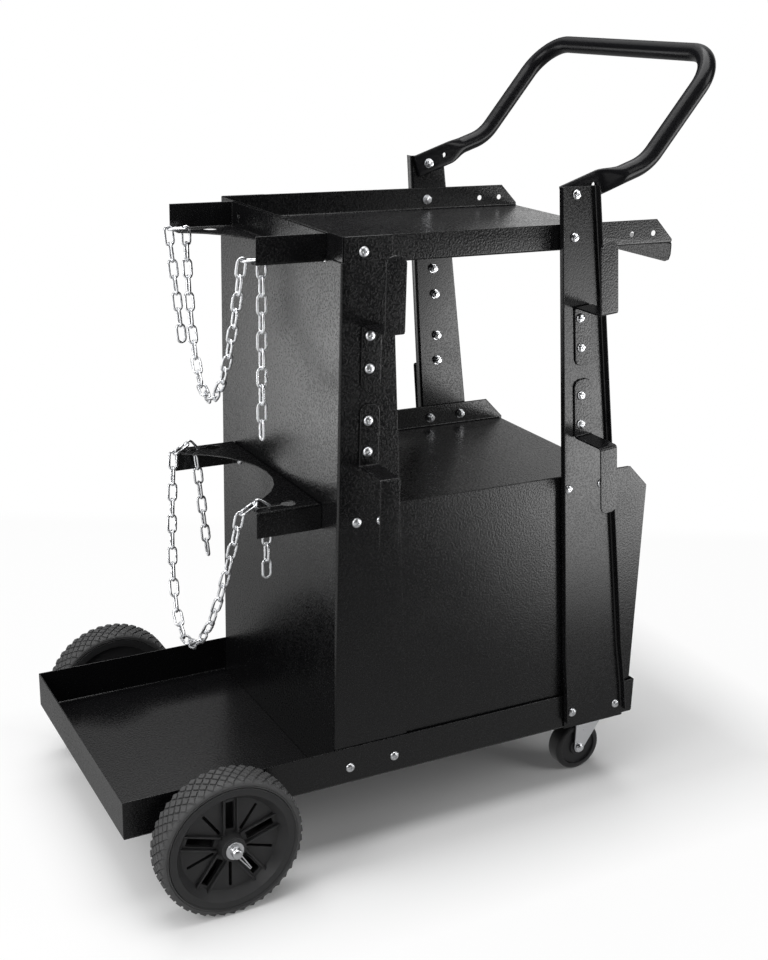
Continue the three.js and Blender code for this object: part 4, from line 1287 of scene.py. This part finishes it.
@dataclass
class AxleSet:
    """Axle, washers and split pins. Sizes in millimetres."""

    place_x: float = 113.0
    height: float = 88.9
    radius: float = 6.0
    end_chamfer: float = 1.0
    washer: float = 11.0
    washer_chamfer: float = 0.4
    washer_play: float = 0.3
    pin_wire: float = 1.6
    pin_leg: float = 30.0
    pin_spread: float = 2.6
    pin_eye: float = 3.0
    pin_eye_span: float = 250.0
    pin_gap: float = 0.1
    pin_turn: float = -55.0
    pin_steps: int = 18
    pin_sides: int = 10
    steps: int = 40

    def pin(self) -> bmesh.types.BMesh:
        """Bends a split pin flat to the wheel: an eye on one side of the axle and two legs on the other."""
        turn = math.radians(self.pin_turn)
        along = Vector((math.cos(turn), 0.0, math.sin(turn)))
        beside = Y_AXIS.cross(along)
        tip = (self.pin_wire + self.pin_gap) / 2
        eye = -self.radius - self.pin_eye
        span = math.radians(self.pin_eye_span)
        points = [along * self.pin_leg + beside * tip, along * -self.radius + beside * self.pin_spread]
        for step in range(self.pin_steps + 1):
            angle = span * (step / self.pin_steps - 0.5)
            reach = along * (eye - self.pin_eye / 2 * math.cos(angle))
            points.append(reach - beside * (self.pin_eye * math.sin(angle)))
        points += [along * -self.radius - beside * self.pin_spread, along * self.pin_leg - beside * tip]
        normal = along.cross(beside)
        rings = []
        for point, tangent in zip(points, tangents(points)):
            side = normal.cross(tangent).normalized()
            rings.append(section(point * MM, (side, normal, -tangent), self.pin_wire / 2 * MM))
        return swept(rings, self.pin_sides, closed=False)

    def build(self, shop: Workshop) -> None:
        """Makes the axle, and the washer and pin at each end of it."""
        middle = Matrix.Translation(place(self.place_x, 0.0, self.height))
        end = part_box("axle")[1].y
        radius = self.radius * MM
        ease = self.end_chamfer * MM
        half = [(0.0, -end), (radius - ease, -end), (radius, ease - end)]
        rod = turned(mirrored(half), self.steps, unit=1.0)
        rod.transform(middle)
        shop.piece("axle_rod", rod, Slot.ZINC, "frame", ("axle",))
        for side in Side:
            node = f"{side.label}_axle_washer"
            low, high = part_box(node)
            ring, bore = self.washer * MM, radius + self.washer_play * MM
            chamfer = self.washer_chamfer * MM
            profile = [
                (bore, low.y), (ring - chamfer, low.y), (ring, low.y + chamfer), (ring, high.y - chamfer),
                (ring - chamfer, high.y), (bore, high.y),
            ]
            disc = turned(profile, self.steps, unit=1.0)
            disc.transform(middle)
            shop.piece(f"{side.label}_round_washer", disc, Slot.ZINC, "frame", (node,))
            node = f"{side.label}_split_pin"
            low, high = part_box(node)
            pin = self.pin()
            spot = place(self.place_x, (low.y + high.y) / 2 / MM, self.height)
            pin.transform(Matrix.Translation(spot))
            shop.piece(f"{side.label}_wire_pin", pin, Slot.ZINC, "frame", (node,))


@dataclass
class Caster:
    """A swivel caster's wheel and axle bolt. Sizes in millimetres.

    The tread's points are a depth below its top and a depth behind the face, the dome's a radius and a
    depth below its top.
    """

    side: Side
    axle_x: float = 672.0
    spread: float = 124.0
    radius: float = 35.0
    half_width: float = 12.0
    tread: float = 4.0
    tread_curve: tuple[Pair, ...] = ((1.2, 1.2), (0.3, 2.6))
    hub: float = 12.0
    dish: float = 3.0
    dish_draft: float = 1.0
    bore: float = 4.3
    bolt_play: float = 0.3
    head: float = 6.5
    head_height: float = 4.0
    dome: tuple[Pair, ...] = ((0.0, 0.0), (2.6, 0.25), (4.6, 1.0), (5.9, 2.1))
    dome_edge: float = 3.2
    rounding: float = 0.4
    steps: int = 56
    bolt_steps: int = 32

    def wheel(self) -> bmesh.types.BMesh:
        """Turns the wheel, with a rounded tread and a dished disc on each face."""
        half = self.half_width
        rim = self.radius - 2 * self.tread
        floor = -half + self.dish
        face = [
            (self.bore, -half), (self.hub, -half), (self.hub + self.dish_draft, floor),
            (rim - self.dish_draft, floor), (rim, -half), (self.radius - self.tread, -half),
            *((self.radius - drop, -half + depth) for drop, depth in self.tread_curve),
            (self.radius, -half + self.tread),
        ]
        return turned(mirrored(face), self.steps)

    def bolt(self) -> bmesh.types.BMesh:
        """Turns the axle bolt with a domed head at each end."""
        low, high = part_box(f"{self.side.label}_caster_axle")
        end = (high.y - low.y) / 2 / MM
        seat = end - self.head_height
        half = [
            *((radius, -end + depth) for radius, depth in self.dome),
            (self.head, -end + self.dome_edge), (self.head, -seat), (self.bore - self.bolt_play, -seat),
        ]
        return turned(mirrored(half), self.bolt_steps)

    def build(self, shop: Workshop) -> None:
        """Makes the wheel and the bolt."""
        label = self.side.label
        middle = Matrix.Translation(place(self.axle_x, self.side.value * self.spread, self.radius))
        wheel = self.wheel()
        wheel.transform(middle)
        roller = f"{label}_caster_roller"
        piece = shop.piece(f"{roller}_wheel", wheel, Slot.CASTER, roller, (f"{label}_caster_wheel",))
        shop.soften(piece, self.rounding * MM)
        bolt = self.bolt()
        bolt.transform(middle)
        shop.piece(f"{label}_caster_bolt", bolt, Slot.ZINC, f"{label}_caster", (f"{label}_caster_axle",))


@dataclass(frozen=True)
class ScrewRow:
    """Screws through one pair of sheets on each side, in millimetres.

    Places are X and height above the tray's underside.
    """

    outer: float
    inner: float
    places: tuple[Pair, ...]


@dataclass
class Fasteners:
    """Cross-recessed pan-head screws with washers and nuts. Sizes in millimetres.

    The dome's points are a radius and a depth below its top, the thread's a depth below its crest and a
    place along its pitch.
    """

    head: float = 6.0
    head_height: float = 3.2
    dome: tuple[Pair, ...] = ((0.0, 0.0), (2.4, 0.06), (4.3, 0.5), (5.4, 1.3))
    skirt: float = 0.9
    sunk: float = 0.2
    recess: float = 1.2
    recess_depth: float = 1.7
    recess_reach: float = 3.1
    recess_rounding: float = 0.2
    cutter_past: float = 1.0
    nut_flats: float = 10.0
    nut_height: float = 4.6
    nut_rounding: float = 0.5
    washer: float = 6.4
    washer_thickness: float = 1.0
    washer_sunk: float = 0.1
    thread: float = 3.0
    thread_pitch: float = 1.0
    thread_form: tuple[Pair, ...] = ((0.0, 0.4), (0.5, 0.9))
    stub: float = 8.0
    stub_chamfer: float = 0.6
    head_steps: int = 24
    thread_steps: int = 16
    turn_between: float = 1.1
    rows: tuple[ScrewRow, ...] = (
        ScrewRow(177.2, 173.9, ((295, 659), (575, 660))),
        ScrewRow(177.2, 170.4, ((573.5, 710),)),
        ScrewRow(177.2, 172.1, ((293, 344), (325, 342.5), (592.5, 342.5), (643.5, 343.5))),
        ScrewRow(179.5, 175.7, (
            (304, 565.5), (304, 527.75), (304, 467), (304, 430),
            (590, 562.5), (594.5, 525.5), (600, 465), (602.5, 428),
        )),
        ScrewRow(179.0, 173.9, ((290, 22.5), (352, 23.5))),
        ScrewRow(180.8, 173.9, ((622.5, 22.75), (694.5, 20))),
    )
    bracket_faces: Pair = (266.2, 269.5)
    bracket_spread: float = 111.0
    bracket_height: float = 437.0

    def screw(self) -> bmesh.types.BMesh:
        """Makes a screw head that stands on -Y from the origin."""
        top = -self.head_height
        profile = [
            *((radius, top + depth) for radius, depth in self.dome),
            (self.head, -self.skirt), (self.head, self.sunk), (0.0, self.sunk),
        ]
        dome = turned(profile, self.head_steps)
        wide = self.recess / 2 * MM
        reach = self.recess_reach * MM
        low = -(self.head_height + self.cutter_past) * MM
        high = -(self.head_height - self.recess_depth) * MM
        rounding = self.recess_rounding * MM
        slotted = cut(dome, block((-reach, low, -wide), (reach, high, wide), rounding))
        return cut(slotted, block((-wide, low, -reach), (wide, high, reach), rounding))

    def nut(self) -> bmesh.types.BMesh:
        """Makes a washer, a nut and a screw end that stand on +Y from the origin."""
        hexagon = bmesh.new()
        seat = Matrix.Translation((0, self.washer_thickness * MM, 0))
        bmesh.ops.create_circle(
            hexagon, cap_ends=True, radius=self.nut_flats / math.sqrt(3) * MM, segments=6,
            matrix=seat @ Matrix.Rotation(-math.pi / 2, 4, "X"),
        )
        grown = bmesh.ops.extrude_face_region(hexagon, geom=hexagon.faces[:])["geom"]
        top = [item for item in grown if isinstance(item, bmesh.types.BMVert)]
        bmesh.ops.translate(hexagon, verts=top, vec=(0, self.nut_height * MM, 0))
        bmesh.ops.bevel(
            hexagon, geom=hexagon.edges[:], offset=self.nut_rounding * MM, affect="EDGES", segments=2,
            profile=0.5, material=-1,
        )
        low, high = -self.washer_sunk, self.washer_thickness
        corners = [(self.thread, low), (self.washer, low), (self.washer, high), (self.thread, high)]
        ring = turned(corners, self.head_steps)
        profile = [(0.0, 0.0), (self.thread, 0.0)]
        pitch = self.thread_pitch
        for turn in range(int((self.stub - pitch) / pitch)):
            profile += [(self.thread - depth, turn * pitch + along) for depth, along in self.thread_form]
        profile += [(self.thread - self.stub_chamfer, self.stub), (0.0, self.stub)]
        end = turned(profile, self.thread_steps)
        return joined((hexagon, ring, end))

    def build(self, shop: Workshop) -> None:
        """Sets the screws and nuts along both sides."""
        screw = self.screw()
        nut = self.nut()
        for side in Side:
            heads, nuts = [], []
            for row in self.rows:
                for index, (x, rise) in enumerate(row.places):
                    height = TRAY_UNDERSIDE / MM + rise
                    spin = Matrix.Rotation(index * self.turn_between, 4, "Y")
                    for kept, face in ((heads, row.outer), (nuts, row.inner)):
                        spot = place(x, side.value * face, height)
                        kept.append(Matrix.Translation(spot) @ side.outward @ spin)
            rearward = Matrix.Rotation(-math.pi / 2, 4, "Z")
            for kept, x in zip((heads, nuts), self.bracket_faces):
                spot = place(x, side.value * self.bracket_spread, self.bracket_height)
                kept.append(Matrix.Translation(spot) @ rearward)
            shop.piece(f"{side.label}_screws", scattered(screw, heads), Slot.ZINC, "frame")
            shop.piece(f"{side.label}_nuts", scattered(nut, nuts), Slot.ZINC, "frame")
        screw.free()
        nut.free()


@dataclass(frozen=True)
class Softbox:
    """A square softbox. Lengths in metres."""

    name: str
    spot: tuple[float, float, float]
    aim: tuple[float, float, float]
    size: float
    watts: float


@dataclass
class Studio:
    """Floor, light and camera. Lengths in metres.

    The camera sees white all round. Reflections see a dark room with a window and a ceiling beyond the cart,
    and a floor that is lit in places. Depth is Y, which grows away from the camera, and a bearing is X over
    depth.
    """

    eye: tuple[float, float, float] = (-0.7911, -1.5138, 1.0106)
    forward: tuple[float, float, float] = (0.4533, 0.8308, -0.3231)
    roll: float = math.radians(1.56)
    focal_pixels: float = 1385.0
    tall_pixels: float = 960.0
    sensor: float = 36.0
    floor_half: float = 9.0
    floor_colour: float = 0.86
    floor_glow: float = 0.03
    ambient: float = 0.14
    dark_room: float = 0.012
    least_depth: float = 0.05
    window_bearing: Ramp = Ramp(0.62, 0.67, 0.0, 1.05)
    window_ahead: Ramp = Ramp(0.2, 0.4)
    window_rise: Ramp = Ramp(0.14, 0.32, 1.0, 0.4)
    ceiling_rise: Ramp = Ramp(0.46, 0.53, 0.0, 0.9)
    ceiling_ahead: Ramp = Ramp(0.3, 0.6)
    front_depth: Ramp = Ramp(-1.7, -0.4, 0.02, 0.34)
    behind_start: float = -0.12
    behind_near: Ramp = Ramp(0.7, 1.6, 0.0, 1.75)
    behind_far: Ramp = Ramp(3.0, 6.0, 1.0, 0.25)
    behind_bearing: Ramp = Ramp(0.4, 0.54, 0.08, 1.75)
    left_edge: Ramp = Ramp(-0.6, -0.4, 0.9, 0.0)
    left_near: Ramp = Ramp(-3.5, -2.5)
    left_far: Ramp = Ramp(0.25, 0.5, 1.0, 0.0)
    right_bearing: Ramp = Ramp(0.6, 0.8, 0.0, 6.2)
    right_near: Ramp = Ramp(-1.2, -0.58, 1.0, 0.0)
    right_far: Ramp = Ramp(-4.5, -2.3)
    footprint_middle: float = 0.115
    footprint_half: Pair = (0.415, 0.21)
    shadow_core: Ramp = Ramp(0.0, 0.16, 0.0, 0.9)
    shadow_tail: Ramp = Ramp(0.0, 1.2)
    away_direction: tuple[float, float, float] = (0.479, 0.878, 0.0)
    away: Ramp = Ramp(0.25, 1.0)
    softboxes: tuple[Softbox, ...] = (
        Softbox("overhead_softbox", spot=(0.0, 0.1, 2.8), aim=(0.0, 0.0, 0.3), size=2.2, watts=66.0),
        Softbox("left_softbox", spot=(-2.3, -0.5, 1.5), aim=(-0.2, 0.0, 0.4), size=1.4, watts=30.0),
        Softbox("right_softbox", spot=(2.3, -2.2, 1.9), aim=(0.1, 0.0, 0.4), size=1.6, watts=26.0),
    )

    def camera(self) -> None:
        """Puts the camera where the picture was taken."""
        data = bpy.data.cameras.new("camera")
        data.sensor_width = self.sensor
        data.lens = self.focal_pixels * self.sensor / self.tall_pixels
        forward = Vector(self.forward).normalized()
        level = forward.cross(Z_AXIS).normalized()
        upright = level.cross(forward)
        right = level * math.cos(self.roll) + upright * math.sin(self.roll)
        up = upright * math.cos(self.roll) - level * math.sin(self.roll)
        turn = Matrix((right, up, -forward)).transposed().to_4x4()
        camera = bpy.data.objects.new("camera", data)
        camera.matrix_world = Matrix.Translation(Vector(self.eye)) @ turn
        bpy.context.scene.collection.objects.link(camera)
        bpy.context.scene.camera = camera

    def world(self) -> None:
        """Lights the world: white to the camera, soft to the cart, a partly lit dark room to reflections."""
        world = bpy.data.worlds.new("studio")
        bpy.context.scene.world = world
        world.use_nodes = True
        world.node_tree.nodes.clear()
        board = NodeBoard(world.node_tree)
        rays = board.add("ShaderNodeLightPath").outputs
        incoming = board.add("ShaderNodeNewGeometry").outputs["Incoming"]
        ahead, rise = board.measure(incoming, (0, -1, 0)), board.measure(incoming, (0, 0, -1))
        depth = board.maths("MAXIMUM", ahead, self.least_depth)
        bearing = board.maths("DIVIDE", board.measure(incoming, (-1, 0, 0)), depth)
        window = board.product(
            board.ramp(bearing, self.window_bearing),
            board.ramp(ahead, self.window_ahead),
            board.ramp(rise, self.window_rise),
        )
        ceiling = board.product(board.ramp(rise, self.ceiling_rise), board.ramp(ahead, self.ceiling_ahead))
        seen = board.maths("MAXIMUM", board.maths("MAXIMUM", window, ceiling), self.dark_room)
        around = board.mix(rays["Is Glossy Ray"], (self.ambient, self.ambient, self.ambient, 1.0), seen)
        background = board.add("ShaderNodeBackground")
        board.feed(background.inputs["Color"], board.mix(rays["Is Camera Ray"], around, WHITE))
        board.feed(board.add("ShaderNodeOutputWorld").inputs["Surface"], background.outputs["Background"])

    def floor_shine(self, board: NodeBoard, where: bpy.types.NodeSocket) -> bpy.types.NodeSocket:
        """Finds how bright reflections see the floor.

        Args:
            board: The floor's node board.
            where: The place on the floor.

        Returns:
            The brightness: low in front, high beyond the cart and to the left and right of it.
        """
        along, depth = board.measure(where, (1, 0, 0)), board.measure(where, (0, 1, 0))
        front = board.ramp(depth, self.front_depth)
        leftward = board.maths(
            "DIVIDE",
            board.maths("SUBTRACT", self.behind_start, along),
            board.maths("MAXIMUM", depth, self.least_depth),
        )
        behind = board.product(
            board.ramp(depth, self.behind_near),
            board.ramp(depth, self.behind_far),
            board.ramp(leftward, self.behind_bearing),
        )
        to_left = board.product(
            board.ramp(along, self.left_edge),
            board.ramp(depth, self.left_near),
            board.ramp(depth, self.left_far),
        )
        toward = board.maths("MAXIMUM", board.product(depth, -1.0), self.least_depth)
        to_right = board.product(
            board.ramp(board.maths("DIVIDE", along, toward), self.right_bearing),
            board.ramp(depth, self.right_near),
            board.ramp(depth, self.right_far),
        )
        sides = board.maths("MAXIMUM", to_left, to_right)
        return board.maths("MAXIMUM", board.maths("MAXIMUM", front, behind), sides)

    def floor(self) -> None:
        """Lays a pale floor that keeps the shadow and turns white away from the cart."""
        shape = bmesh.new()
        bmesh.ops.create_grid(shape, x_segments=1, y_segments=1, size=self.floor_half)
        mesh = bpy.data.meshes.new("floor")
        shape.to_mesh(mesh)
        shape.free()
        floor = bpy.data.objects.new("floor", mesh)
        bpy.context.scene.collection.objects.link(floor)
        material = bpy.data.materials.new("pale_floor")
        material.use_nodes = True
        material.node_tree.nodes.clear()
        board = NodeBoard(material.node_tree)
        where = board.add("ShaderNodeTexCoord").outputs["Object"]
        rays = board.add("ShaderNodeLightPath").outputs
        paint = board.add("ShaderNodeBsdfDiffuse")
        paint.inputs["Color"].default_value = (self.floor_colour, self.floor_colour, self.floor_colour, 1.0)
        lit = board.add("ShaderNodeAddShader")
        board.feed(lit.inputs[0], paint.outputs["BSDF"])
        board.feed(lit.inputs[1], board.glow(board.product(rays["Is Camera Ray"], self.floor_glow)))
        lengthwise = board.maths("SUBTRACT", board.measure(where, (1, 0, 0)), self.footprint_middle)
        crosswise = board.measure(where, (0, 1, 0))
        beyond, beside = (
            board.maths("SUBTRACT", board.maths("ABSOLUTE", way, 0.0), half)
            for way, half in zip((lengthwise, crosswise), self.footprint_half)
        )
        outside = board.maths("MAXIMUM", beyond, beside)
        clear = board.maths(
            "MAXIMUM", board.ramp(outside, self.shadow_core), board.ramp(outside, self.shadow_tail)
        )
        away = board.maths("MAXIMUM", board.ramp(board.measure(where, self.away_direction), self.away), clear)
        bleached = board.product(away, rays["Is Camera Ray"])
        shown = board.blend(bleached, lit.outputs["Shader"], board.glow(1.0))
        shine = board.glow(self.floor_shine(board, where))
        whole = board.blend(rays["Is Glossy Ray"], shown, shine)
        board.feed(board.add("ShaderNodeOutputMaterial").inputs["Surface"], whole)
        mesh.materials.append(material)

    @staticmethod
    def hang(softbox: Softbox) -> None:
        """Hangs a softbox."""
        data = bpy.data.lights.new(softbox.name, "AREA")
        data.shape = "RECTANGLE"
        data.size = data.size_y = softbox.size
        data.energy = softbox.watts
        light = bpy.data.objects.new(softbox.name, data)
        spot = Vector(softbox.spot)
        turn = (spot - Vector(softbox.aim)).to_track_quat("Z", "Y").to_matrix().to_4x4()
        light.matrix_world = Matrix.Translation(spot) @ turn
        bpy.context.scene.collection.objects.link(light)

    def build(self) -> None:
        """Sets up the whole studio."""
        self.camera()
        self.world()
        self.floor()
        for softbox in self.softboxes:
            self.hang(softbox)
        bpy.context.scene.view_settings.view_transform = "Standard"


def main() -> None:
    """Builds every sub-assembly, then the studio."""
    logging.basicConfig(level=logging.INFO, format="%(name)s: %(message)s")
    shop = Workshop()
    SheetWork().build(shop)
    HandleTube().build(shop)
    for chain in CHAINS:
        chain.build(shop)
    for side in Side:
        RearWheel(side).build(shop)
        Caster(side).build(shop)
    AxleSet().build(shop)
    Fasteners().build(shop)
    Studio().build()


if __name__ == "__main__":
    main()
